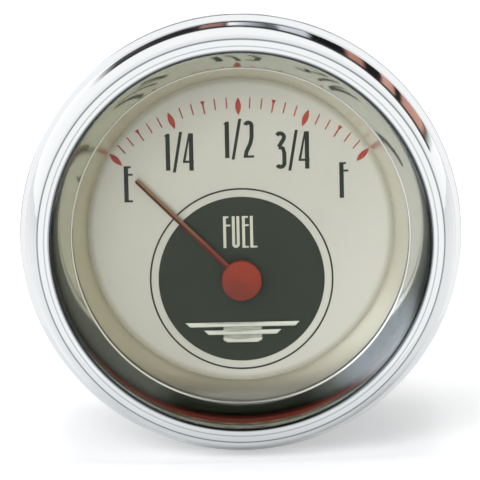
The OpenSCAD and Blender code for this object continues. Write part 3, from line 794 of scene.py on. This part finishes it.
def figure_two(x, y, w, h, stem, arm):
    """A narrow two: a hooked bow, a long neck and a flat foot."""
    r = w / 2 - stem / 2
    cx, cy = x + w / 2, y + h - r - stem / 2
    bow = arc(cx, cy, r, 165, -8, 14)
    neck = [(cx + r * 0.95, y + h * 0.55), (cx + r * 0.5, y + h * 0.38), (x + w * 0.28, y + h * 0.16)]
    return [stroke(bow + neck + [(x + stem * 0.55, y + arm * 0.9)], stem), [
        (x, y), (x + w, y), (x + w, y + arm), (x, y + arm)
    ]]


def figure_three(x, y, w, h, stem):
    """A narrow three: a small upper bow and a long lower one."""
    r = w / 2 - stem / 2
    cx = x + w / 2
    top = arc(cx, y + h - r - stem / 2, r, 150, -30, 12)
    waist = [(x + w * 0.36, y + h * 0.58)]
    low = [(x + w * 0.72, y + h * 0.55)]
    right = [(x + w - stem / 2, y + h * 0.42), (x + w - stem / 2, y + h * 0.25)]
    foot = arc(cx, y + r + stem / 2, r, 0, -150, 12)
    return [stroke(top + waist, stem), stroke(waist + low + right + foot, stem)]


def figure_four(x, y, w, h, stem, arm):
    """An upright with a slanting arm, which leaves a narrow triangle open."""
    bar_y = y + h * 0.27
    sx = x + w * 0.58
    outer = [
        (sx, y), (sx + stem, y), (sx + stem, bar_y - arm), (x + w, bar_y - arm), (x + w, bar_y),
        (sx + stem, bar_y), (sx + stem, y + h), (sx - 0.05, y + h), (x, bar_y - arm * 0.2), (x, bar_y - arm),
        (sx, bar_y - arm),
    ]
    hole = [(x + arm * 1.15, bar_y), (sx, bar_y), (sx, y + h * 0.8)]
    return [outer, hole]


def slash(low, high, w):
    return [(x + side * w / 2, y) for side, (x, y) in ((-1, low), (1, low), (1, high), (-1, high))]


def numerals():
    stem, arm = 0.6, 0.32
    shapes = [
        letter_e(-15.93, 4.14, 1.22, 5.02, stem, 0.28),
        letter_f(13.75, 4.15, 1.24, 4.96, stem, 0.28),
        figure_one(-10.1, 8.43, 5.1, stem),
        slash((-8.97, 8.15), (-7.97, 13.77), 0.42),
        figure_one(-1.92, 10.01, 5.04, stem),
        slash((-0.84, 9.77), (0.2, 15.4), 0.42),
        slash((6.93, 8.08), (7.93, 13.71), 0.42),
    ]
    shapes += figure_four(-7.75, 8.37, 1.5, 5.16, stem, arm)
    shapes += figure_four(8.18, 8.31, 1.5, 5.18, stem, arm)
    return shapes


def round_figures():
    stem, arm = 0.56, 0.32
    return figure_two(0.62, 9.99, 1.45, 5.14, stem, arm), figure_three(4.88, 8.35, 1.62, 5.2, stem)


def title():
    stem, arm = 0.4, 0.25
    y, h = -2.52, 4.42
    return [
        letter_f(-2.42, y, 1.0, h, stem, arm, 0.74),
        letter_u(-1.2, y, 1.04, h, stem),
        letter_e(0.2, y, 0.92, h, stem, arm, 0.74, 0.9),
        letter_l(1.3, y, 0.96, h, stem, arm),
    ]


def printing():
    """All printed layers, each with its ink."""
    disc_r, line_r, line_w, foot_t, title_t, steps = 11.5, 12.6, 0.24, 0.032, 0.02, 288
    disc, *line = [
        arc(0, PIVOT_Y, r, 0, 360 - 360 / steps, steps - 1)
        for r in (disc_r, line_r + line_w / 2, line_r - line_w / 2)
    ]
    two, three = round_figures()
    return [
        printed("print_disc", [disc], DARK_INK),
        printed("print_ring_line", line, LETTER_INK),
        printed("print_graduations", graduations(), RED_INK),
        printed("print_numerals", numerals() + two[:1] + three[:1], LETTER_INK),
        printed("print_two_foot", two[1:], LETTER_INK, thickness=foot_t),
        printed("print_three_foot", three[1:], LETTER_INK, thickness=foot_t),
        printed("print_title", title(), CREAM_INK, DIAL_FACE + INK_T, title_t),
    ]


# The back


def terminal_places():
    angles = [radians(-90 + i * TERMINAL_STEP) for i in (-1, 0, 1)]
    return [(TERMINAL_RING * cos(a), TERMINAL_RING * sin(a)) for a in angles]


def stud_places():
    return [(-STUD_X, 0), (STUD_X, 0)]


def case():
    """The drawn steel cup, with its flange, the register that fills the panel hole and rounded corners."""
    corner, bend, inner_bend, crease, roll_t = 2.0, 0.8, 0.3, 0.25, 0.8
    neck_hole_r, lamp_hole_r = 3.6, 5.55
    dial_back = level_of("dial_plate", "rear")
    step_back = dial_back - CASE_T
    profile = (
        [(0, CASE_BACK)]
        + arc(CASE_R - corner, CASE_BACK + corner, corner, -90, 0, 12)
        + arc(CASE_R + crease, step_back - crease, crease, 180, 90, 4)
        + arc(REGISTER_R - inner_bend, step_back + inner_bend, inner_bend, -90, 0, 5)
        + arc(REGISTER_R + bend, roll_t - bend, bend, 180, 90, 8)
        + [(FLANGE_R, roll_t), (FLANGE_R, roll_t + CASE_T), (REGISTER_R - CASE_T, roll_t + CASE_T)]
        + [(REGISTER_R - CASE_T, dial_back), (CASE_R - CASE_T, dial_back)]
        + arc(CASE_R - corner, CASE_BACK + corner, corner - CASE_T, 0, -90, 10)
        + [(0, CASE_BACK + CASE_T)]
    )
    cup = spun("cup", profile, STEEL, steps=192)
    holes = [(place, neck_hole_r) for place in terminal_places()]
    holes += [((0, LAMP_Y), lamp_hole_r)]
    holes += [(place, STUD_ROOM) for place in stud_places()]
    return carve("case_cup", cup, drills(holes, CASE_BACK - 1, CASE_BACK + 2, STEEL), STEEL)


def split_washer(bm, centre, outer, inner, back, front):
    """A spring washer: a flat ring with a narrow slit."""
    slit, edge, steps = 8.0, 0.1, 60
    profile = [
        (inner, back), (outer - edge, back), (outer, back + edge), (outer, front - edge),
        (outer - edge, front), (inner, front),
    ]
    begin = len(bm.verts)
    verts = [bm.verts.new(at(centre[0] + r, centre[1], level)) for r, level in profile]
    edges = [bm.edges.new(pair) for pair in zip(verts, verts[1:] + verts[:1])]
    bmesh.ops.spin(
        bm, geom=verts + edges, cent=at(*centre, 0), axis=OUT, dvec=(0, 0, 0),
        angle=radians(360 - slit), steps=steps, use_merge=False,
    )
    bm.verts.ensure_lookup_table()
    ends = dict.fromkeys(e for v in bm.verts[begin:] for e in v.link_edges if len(e.link_faces) == 1)
    bmesh.ops.holes_fill(bm, edges=list(ends), sides=0)


def terminal_studs():
    """Threaded brass studs whose heads lie on the circuit board."""
    head_r, head_t, edge = 3.5, 1.4, 0.3
    back, end = level_of("circuit_board", "front"), level_of("terminal_studs", "rear")
    front = back + head_t
    bm = bmesh.new()
    for place in terminal_places():
        head = [(0, back), (head_r, back), (head_r, front - edge), (head_r - edge, front), (0, front)]
        turn(bm, head, place, 48)
        thread(bm, place, end, back)
    return piece("terminal_threads", bm, BRASS, sharp=40)


def mounting_studs():
    """Threaded steel studs, welded by their heads inside the case's back."""
    head_r, head_t = 4, 1
    back, end = CASE_BACK + CASE_T, level_of("mounting_studs", "rear")
    bm = bmesh.new()
    for place in stud_places():
        head = [(0, back), (head_r, back), (head_r, back + head_t), (0, back + head_t)]
        turn(bm, head, place, 48)
        thread(bm, place, end, back)
    return piece("mounting_threads", bm, STEEL, sharp=40)


def terminal_stack():
    """Insulating washers, lock washers and hexagon nuts on the three terminals."""
    insulators, washers, blanks, lathe = [bmesh.new() for _ in range(4)]
    back, seat = level_of("terminal_insulators", "rear"), level_of("terminal_washers", "rear")
    nut_back = level_of("terminal_nuts", "rear")
    insulator_r, edge, flats, slope, chamfer = 5, 0.12, 8.7, 0.45, 0.3
    corner = flats / 2 / cos(radians(30))
    face_r, lathe_r = flats / 2 - 0.1, corner + 0.2
    for x, y in terminal_places():
        turn(insulators, [
            (STUD_ROOM, back + edge), (STUD_ROOM + edge, back), (insulator_r - edge, back),
            (insulator_r, back + edge), (insulator_r, CASE_BACK - edge), (insulator_r - edge, CASE_BACK),
            (STUD_ROOM + edge, CASE_BACK), (STUD_ROOM, CASE_BACK - edge),
        ], (x, y), 64)
        split_washer(washers, (x, y), WASHER_R, STUD_ROOM, seat, seat + WASHER_T)
        upright = Matrix.Rotation(radians(90), 4, "X") @ Matrix.Rotation(radians(30), 4, "Z")
        middle = Matrix.Translation(at(x, y, (seat + nut_back) / 2))
        bmesh.ops.create_cone(
            blanks, cap_ends=True, segments=6, radius1=corner * MM, radius2=corner * MM,
            depth=(seat - nut_back) * MM, matrix=middle @ upright,
        )
        turn(lathe, [
            (NUT_BORE, nut_back + chamfer), (NUT_BORE + chamfer, nut_back), (face_r, nut_back),
            (lathe_r, nut_back + slope), (lathe_r, seat - slope), (face_r, seat),
            (NUT_BORE + chamfer, seat), (NUT_BORE, seat - chamfer),
        ], (x, y))
    blank, turned = piece("blanks", blanks, STEEL), piece("lathe", lathe, STEEL)
    return (
        piece("terminal_insulator_rings", insulators, NYLON),
        piece("terminal_lock_washers", washers, STEEL),
        carve("terminal_hex_nuts", blank, turned, STEEL, "INTERSECT"),
    )


def thumb_nut(name, x):
    """A knurled brass nut with a collar that bears on the washer."""
    seat, back = level_of("left_thumb_nut", "front"), level_of("left_thumb_nut", "rear")
    rim, collar, collar_t, ridges, depth, edge, chamfer = 6.5, 4.5, 1.5, 30, 0.4, 0.35, 0.3
    collar_back, collar_edge, face_r = seat - collar_t, 0.2, rim - edge - 0.3
    sides = [(rim, collar_back - edge - (collar_back - back - 2 * edge) * i / 4) for i in range(5)]
    bm = bmesh.new()
    turn(bm, [
        (NUT_BORE, seat - chamfer), (NUT_BORE + chamfer, seat), (collar - collar_edge, seat),
        (collar, seat - collar_edge), (collar, collar_back), (face_r, collar_back), *sides, (face_r, back),
        (NUT_BORE + 4 * chamfer, back), (NUT_BORE + 3 * chamfer, back + chamfer),
        (NUT_BORE + chamfer, back + chamfer), (NUT_BORE, back + 2 * chamfer),
    ], (0, 0), ridges * 8)
    for v in bm.verts:
        if sqrt(v.co.x ** 2 + v.co.z ** 2) / MM > rim - 0.01:
            wave = abs(sin(ridges / 2 * Vector((v.co.x, v.co.z)).angle_signed(Vector((1, 0)))))
            v.co.x *= 1 - depth * wave / rim
            v.co.z *= 1 - depth * wave / rim
    bmesh.ops.translate(bm, vec=at(x, 0, 0), verts=bm.verts)
    return piece(name, bm, BRASS, sharp=35)


def clamp():
    """The bent strap, with rounded edges and holes for the studs, and its lock washers."""
    low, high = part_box("clamp_bracket")
    outer_x, strap_w, strap_t, bend = high.x / MM, (high.z - low.z) / MM, 1.5, 2.0
    foot, back = -low.y / MM, -high.y / MM
    leg_x, front = outer_x - strap_t, back + strap_t
    outline = (
        [(-outer_x, foot)]
        + arc(-leg_x + bend, front + bend, bend + strap_t, 180, 270, 12)
        + arc(leg_x - bend, front + bend, bend + strap_t, 270, 360, 12)
        + [(outer_x, foot), (leg_x, foot)]
        + arc(leg_x - bend, front + bend, bend, 360, 270, 12)
        + arc(-leg_x + bend, front + bend, bend, 270, 180, 12)
        + [(-leg_x, foot)]
    )
    bm = bmesh.new()
    prism(bm, [at(x, -strap_w / 2, level) for x, level in outline], (0, 0, strap_w * MM))
    bmesh.ops.recalc_face_normals(bm, faces=bm.faces)
    soften(bm, [e for e in bm.edges if e.calc_face_angle() > radians(45)], 0.2)
    strap = piece("strap", bm, STEEL)
    holes = [(place, STRAP_ROOM) for place in stud_places()]
    washers = bmesh.new()
    for place in stud_places():
        split_washer(washers, place, WASHER_R, STRAP_ROOM, back - WASHER_T, back)
    return (
        carve("clamp_strap", strap, drills(holes, back - 1, front + 1, None, 64), STEEL),
        piece("clamp_lock_washers", washers, STEEL),
    )


def lamp():
    """The push-in holder, its bulb with a brass base, and two tabs."""
    centre = (0, LAMP_Y)
    body_r, bore_r, flange_r, flange_t, edge = 5.5, 4.55, 7.0, 1.5, 0.3
    grip_l, grip_w, grip_edge, socket_l = 7.0, 9.0, 0.4, 8.0
    flange_back, front = CASE_BACK - flange_t, CASE_BACK + socket_l
    grip_back = flange_back - grip_l
    bm = bmesh.new()
    turn(bm, [
        (0, flange_back), (bore_r, flange_back), (bore_r, front - edge), (bore_r + edge, front),
        (body_r - edge, front), (body_r, front - edge), (body_r, CASE_BACK), (flange_r - edge, CASE_BACK),
        (flange_r, CASE_BACK - edge), (flange_r, flange_back + edge), (flange_r - edge, flange_back),
        (body_r, flange_back), (body_r, grip_back + grip_edge), (body_r - grip_edge, grip_back),
        (0, grip_back),
    ], centre, 120)
    half = grip_w / 2 * MM
    for v in bm.verts:
        if -v.co.y / MM < flange_back - 0.01:
            v.co.z = LAMP_Y * MM + min(max(v.co.z - LAMP_Y * MM, -half), half)
    holder = piece("lamp_holder_body", bm, BLACK)

    base_r, glass_start = 4.5, front + 0.5
    base = spun("bulb_base", [
        (0, flange_back), (base_r - edge, flange_back), (base_r, flange_back + edge),
        (base_r, glass_start - 2 * edge), (base_r - edge / 2, glass_start - edge), (base_r, glass_start),
        (0, glass_start),
    ], BRASS, centre, 72)

    bulb_r, bulb_l, wall = 4.3, 13.0, 0.4
    dome = glass_start + bulb_l - bulb_r
    bulb = spun("bulb_glass", (
        [(bulb_r - wall, glass_start), (bulb_r, glass_start)] + arc(0, dome, bulb_r, 0, 90, 16)
        + arc(0, dome, bulb_r - wall, 90, 0, 16)
    ), GLASS, centre, 72)
    bulb.visible_shadow = False

    turns, coil_r, wire_r, coil_l, post_r, post_l = 9, 0.35, 0.09, 3.6, 0.15, 5.0
    bm = bmesh.new()
    level = glass_start + post_l
    upright = Matrix.Rotation(radians(90), 4, "X")
    ring = bmesh.ops.create_circle(
        bm, cap_ends=False, segments=8, radius=wire_r * MM,
        matrix=Matrix.Translation(at(-coil_l / 2, LAMP_Y + coil_r, level)) @ upright,
    )["verts"]
    bmesh.ops.spin(
        bm, geom=ring + list(bm.edges), cent=at(0, LAMP_Y, level), axis=(1, 0, 0), angle=2 * pi * turns,
        dvec=(coil_l * MM / (turns * 16), 0, 0), steps=turns * 16, use_merge=False,
    )
    for s in (-1, 1):
        middle = Matrix.Translation(at(s * coil_l / 2, LAMP_Y + coil_r, glass_start + post_l / 2))
        bmesh.ops.create_cone(
            bm, cap_ends=True, segments=10, radius1=post_r * MM, radius2=post_r * MM, depth=post_l * MM,
            matrix=middle @ upright,
        )
    filament = piece("bulb_filament", bm, STEEL)

    tab_t, tab_w, pitch, tab_end = 0.8, 4.0, 4.5, level_of("lamp_contacts", "rear")
    bm = bmesh.new()
    for s in (-1, 1):
        slab(bm, (s * pitch / 2, LAMP_Y, (tab_end + flange_back) / 2), (tab_t, tab_w, flange_back - tab_end))
    soften(bm, [e for e in bm.edges if all(-v.co.y / MM < tab_end + 0.01 for v in e.verts)], 0.25)
    tabs = piece("lamp_tabs_brass", bm, BRASS)
    return holder, base, bulb, filament, tabs


# The picture


ELEVATION = radians(8.7)
WHITE = "#f6f6f6"


def camera():
    """The photograph's view: from a little above, rolled about a degree."""
    roll, distance, lens_mm = radians(-1.2), 0.4, 218.7
    aim = at(-0.12, -0.98, 0)
    back = Vector((0, -cos(ELEVATION), sin(ELEVATION)))
    data = bpy.data.cameras.new("camera")
    data.lens = lens_mm
    data.sensor_width = 36
    data.clip_start = 0.01
    data.clip_end = 20
    made = bpy.data.objects.new("camera", data)
    bpy.context.collection.objects.link(made)
    turned = back.to_track_quat("Z", "Y").to_matrix().to_4x4() @ Matrix.Rotation(roll, 4, "Z")
    made.matrix_world = Matrix.Translation(aim + back * distance) @ turned
    bpy.context.scene.camera = made


def floor():
    """A wide pale floor that ends a little in front of the gauge, as a table does."""
    size, front, lift, mirrored_lift = 4.0, -0.045, 0.35, 0.2
    bm = bmesh.new()
    centre = Matrix.Translation((0, front + size / 2, -(BEZEL_R + 0.05) * MM))
    bmesh.ops.create_grid(bm, x_segments=1, y_segments=1, size=size / 2, matrix=centre)
    made, tree, surface, where = start("floor_paper", "#dcdcdc", 0.0, 0.9, Specular_IOR_Level=0.0)
    mottle(tree, surface, where, 40.0, colours=("#dbdbdb", "#dedede"))
    rays = add(tree, "LightPath", {}).node.outputs
    pair = {0: rays["Is Glossy Ray"], 1: rays["Is Transmission Ray"]}
    indirect = add(tree, "Math", pair, operation="MAXIMUM")
    glow = add(tree, "Math", {0: indirect, 1: mirrored_lift}, operation="MULTIPLY")
    direct = {0: rays["Is Camera Ray"], 1: lift, 2: glow}
    add(tree, "Math", direct, to=surface["Emission Strength"], operation="MULTIPLY_ADD")
    surface["Emission Color"].default_value = (1, 1, 1, 1)
    piece("floor", bm, made)


def world():
    """A white studio seen by its angle from the dial's axis, with grey sides and a dark patch overhead.

    A pale tabletop lies below in front, and a grey stand straight ahead is what the flat glass
    mirrors. A row of furniture behind the gauge shows in the bezel's step, and a window is to the
    upper left.
    """
    made = bpy.data.worlds.new("studio")
    bpy.context.scene.world = made
    made.use_nodes = True
    tree = made.node_tree
    tree.nodes.clear()
    end = tree.nodes.new("ShaderNodeOutputWorld")
    where = add(tree, "TexCoord", {}, "Generated")
    axes = add(tree, "SeparateXYZ", {0: where}).node.outputs
    facing = add(tree, "Math", {0: axes["Y"], 1: -1.0}, operation="MULTIPLY")
    angle = add(tree, "Math", {0: facing}, operation="ARCCOSINE")
    share = add(tree, "Math", {0: angle, 1: pi}, operation="DIVIDE")
    room = add(tree, "ValToRGB", {"Fac": share}, stops=[
        (54 / 180, WHITE), (64 / 180, "#4a5459"), (86 / 180, "#4f5b62"), (98 / 180, "#d5d9db"),
        (116 / 180, WHITE),
    ])
    down = add(tree, "Math", {0: axes["Z"], 1: -1.0}, operation="MULTIPLY")
    tabletop = add(tree, "ValToRGB", {"Fac": down}, stops=[
        (0.15, WHITE), (0.5, "#eceeef"), (0.65, "#cfd5d8"), (0.85, "#b4bbbf"),
    ])
    ahead, below = rise(tree, where, (0, 1, 0), -0.45, -0.62), rise(tree, where, (0, 0, 1), -0.12, -0.2)
    table = add(tree, "Math", {0: ahead, 1: below}, operation="MULTIPLY")
    overhead = rise(tree, where, (0, -0.42, 0.91), cos(radians(34)), cos(radians(20)))
    stand = rise(tree, where, (-0.04, -0.993, -0.115), cos(radians(8)), cos(radians(5)))
    window = rise(tree, where, (-0.71, -0.57, 0.41), cos(radians(22)), cos(radians(8)))

    raised = add(tree, "Math", {0: axes["Z"], 1: 0.1}, operation="ADD")
    bearing = add(tree, "Math", {0: axes["X"], 1: raised}, operation="ARCTAN2")
    turned = add(tree, "Math", {0: bearing}, operation="DEGREES")
    stir = add(tree, "TexNoise", {"Vector": where, "Scale": per(60.0), "Detail": 3.0})
    across = add(tree, "Math", {0: stir, 1: 2.0, 2: turned}, operation="MULTIPLY_ADD")
    # What stands in the row, by its angle in degrees clockwise from straight up.
    low, high = -45.0, 75.0
    shelf = add(tree, "MapRange", {"Value": across, "From Min": low, "From Max": high})
    things = [
        (-38, "#55565a"), (-22, "#2c2c2f"), (-10, "#26211f"), (-9, "#9a7069"), (-3, "#8f6a66"),
        (-2, "#1d1d1f"), (-1, "#f0f0f2"), (0.5, "#e8e8ee"), (3, "#b9bac6"), (10, "#5a5b60"),
        (12.5, "#6a6b70"), (14, "#c9cad2"), (21, "#c2c4cc"), (23, "#141517"), (33, "#17181a"),
        (35, "#b07f70"), (39, "#a5776a"), (40.5, "#1b1b1d"), (46, "#201e1f"), (47, "#c79a8c"),
        (51, "#b98a7c"), (52, "#1f1f21"), (54, "#1f1f21"), (55, "#b98a7c"), (64, "#c39384"),
        (66, "#5a4c48"), (69, "#cfd8d2"),
    ]
    stops = [((x - low) / (high - low), colour) for x, colour in things]
    row = add(tree, "ValToRGB", {"Fac": shelf}, stops=stops)
    leftwards = add(tree, "Math", {0: axes["X"], 1: -0.17}, operation="MULTIPLY")
    leftwards = add(tree, "Math", {0: leftwards, 1: 0}, operation="MAXIMUM")
    depth = add(tree, "VectorMath", {0: where, 1: (0.175, 0.984, 0.033)}, "Value", operation="DOT_PRODUCT")
    behind = add(tree, "Math", {0: depth, 1: leftwards}, operation="ADD")
    ends = {"Value": behind, "From Min": 0.86, "From Max": 0.83}
    edge = add(tree, "MapRange", ends, interpolation_type="SMOOTHSTEP")
    row = add(tree, "Mix", {"Factor": edge, 6: row, 7: "#2a2a2c"})
    standing = 1.0
    for value, none, full in (
        (behind, 0.79, 0.81), (axes["Z"], -0.08, -0.05), (turned, -48, -36), (turned, 70, 68),
    ):
        ends = {"Value": value, "From Min": none, "From Max": full}
        soft = add(tree, "MapRange", ends, interpolation_type="SMOOTHSTEP")
        standing = add(tree, "Math", {0: standing, 1: soft}, operation="MULTIPLY")

    for factor, colour in (
        (table, tabletop), (overhead, "#101213"), (stand, "#626466"), (standing, row), (window, "#dfe8f6"),
    ):
        room = add(tree, "Mix", {"Factor": factor, 6: room, 7: colour})
    strength = add(tree, "Math", {0: window, 1: 2.4, 2: 1.35}, operation="MULTIPLY_ADD")
    lit = add(tree, "Background", {"Color": room, "Strength": strength})
    seen = add(tree, "Background", {"Color": "#ffffff", "Strength": 1.0})
    direct = add(tree, "LightPath", {}, "Is Camera Ray")
    add(tree, "MixShader", {0: direct, 1: lit, 2: seen}, to=end.inputs["Surface"])


def shine(name, kind, place, strength, size):
    """A soft light from a place, which polished metal doesn't mirror."""
    data = bpy.data.lights.new(name, kind)
    data.energy = strength
    if kind == "SUN":
        data.angle = radians(size)
    else:
        data.shape = "DISK"
        data.size = size
    made = bpy.data.objects.new(name, data)
    made.visible_glossy = False
    made.visible_transmission = False
    bpy.context.collection.objects.link(made)
    spot = Vector(place)
    made.matrix_world = Matrix.Translation(spot) @ spot.to_track_quat("Z", "Y").to_matrix().to_4x4()


def lights():
    shine("top_light", "SUN", (-0.02, 0.03, 1.0), 1.0, 26)
    shine("left_light", "AREA", (-0.2, -0.5, 0.28), 1.8, 0.3)


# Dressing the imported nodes


def dress():
    """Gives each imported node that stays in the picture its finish."""
    finishes = {
        RUBBER: ["lens_gasket"],
        DIAL_NICKEL: ["dial_plate"],
        BRASS: ["movement_plate", "plate_posts"],
        NYLON: ["bobbin_front", "bobbin_rear", "terminal_bushings"],
        COPPER: ["coil_inner", "coil_outer"],
        STEEL: ["shield_can", "movement_screws", "post_screws", "pointer_spindle"],
        LAMINATE: ["circuit_board"],
        CERAMIC: ["range_resistor"],
        FERRITE: ["rotor_magnet"],
    }
    for finish, nodes in finishes.items():
        for name in nodes:
            mesh = frame["nodes"][name].data
            mesh.materials.clear()
            mesh.materials.append(finish)


def put(made, body, slot, *nodes):
    """Lets a piece ride on its body and stand for its nodes. Its slot is not used."""
    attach(made, body)
    if nodes:
        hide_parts(*nodes)


dress()
put(bezel(), "gauge", "chrome_plate", "bezel")
put(lens(), "gauge", "clear_glass", "lens")
put(dial_ring(), "gauge", "satin_nickel", "dial_ring")
put(ornament(), "gauge", "bright_nickel", "dial_ornament")
for layer in printing():
    put(layer, "gauge", None)
put(pointer(), "pointer", "red_paint", "pointer_arm")
put(pointer_cap(), "pointer", "red_paint", "pointer_cap")
put(case(), "gauge", "zinc_steel", "case")
put(terminal_studs(), "gauge", "brass", "terminal_studs")
put(mounting_studs(), "gauge", "zinc_steel", "mounting_studs")
insulators, lock_washers, hex_nuts = terminal_stack()
put(insulators, "gauge", "white_nylon", "terminal_insulators")
put(lock_washers, "gauge", "zinc_steel", "terminal_washers")
put(hex_nuts, "gauge", "zinc_steel", "terminal_nuts")
put(thumb_nut("left_knurled_nut", -STUD_X), "left_nut", "brass", "left_thumb_nut")
put(thumb_nut("right_knurled_nut", STUD_X), "right_nut", "brass", "right_thumb_nut")
strap, strap_washers = clamp()
put(strap, "clamp", "zinc_steel", "clamp_bracket")
put(strap_washers, "clamp", "zinc_steel", "clamp_washers")
holder, base, bulb, filament, tabs = lamp()
put(holder, "lamp", "black_plastic", "lamp_holder")
put(base, "lamp", "brass", "lamp_bulb")
put(bulb, "lamp", "clear_glass", "lamp_bulb")
put(filament, "lamp", None)
put(tabs, "lamp", "brass", "lamp_contacts")

camera()
floor()
world()
lights()
bpy.context.scene.view_settings.view_transform = "Standard"
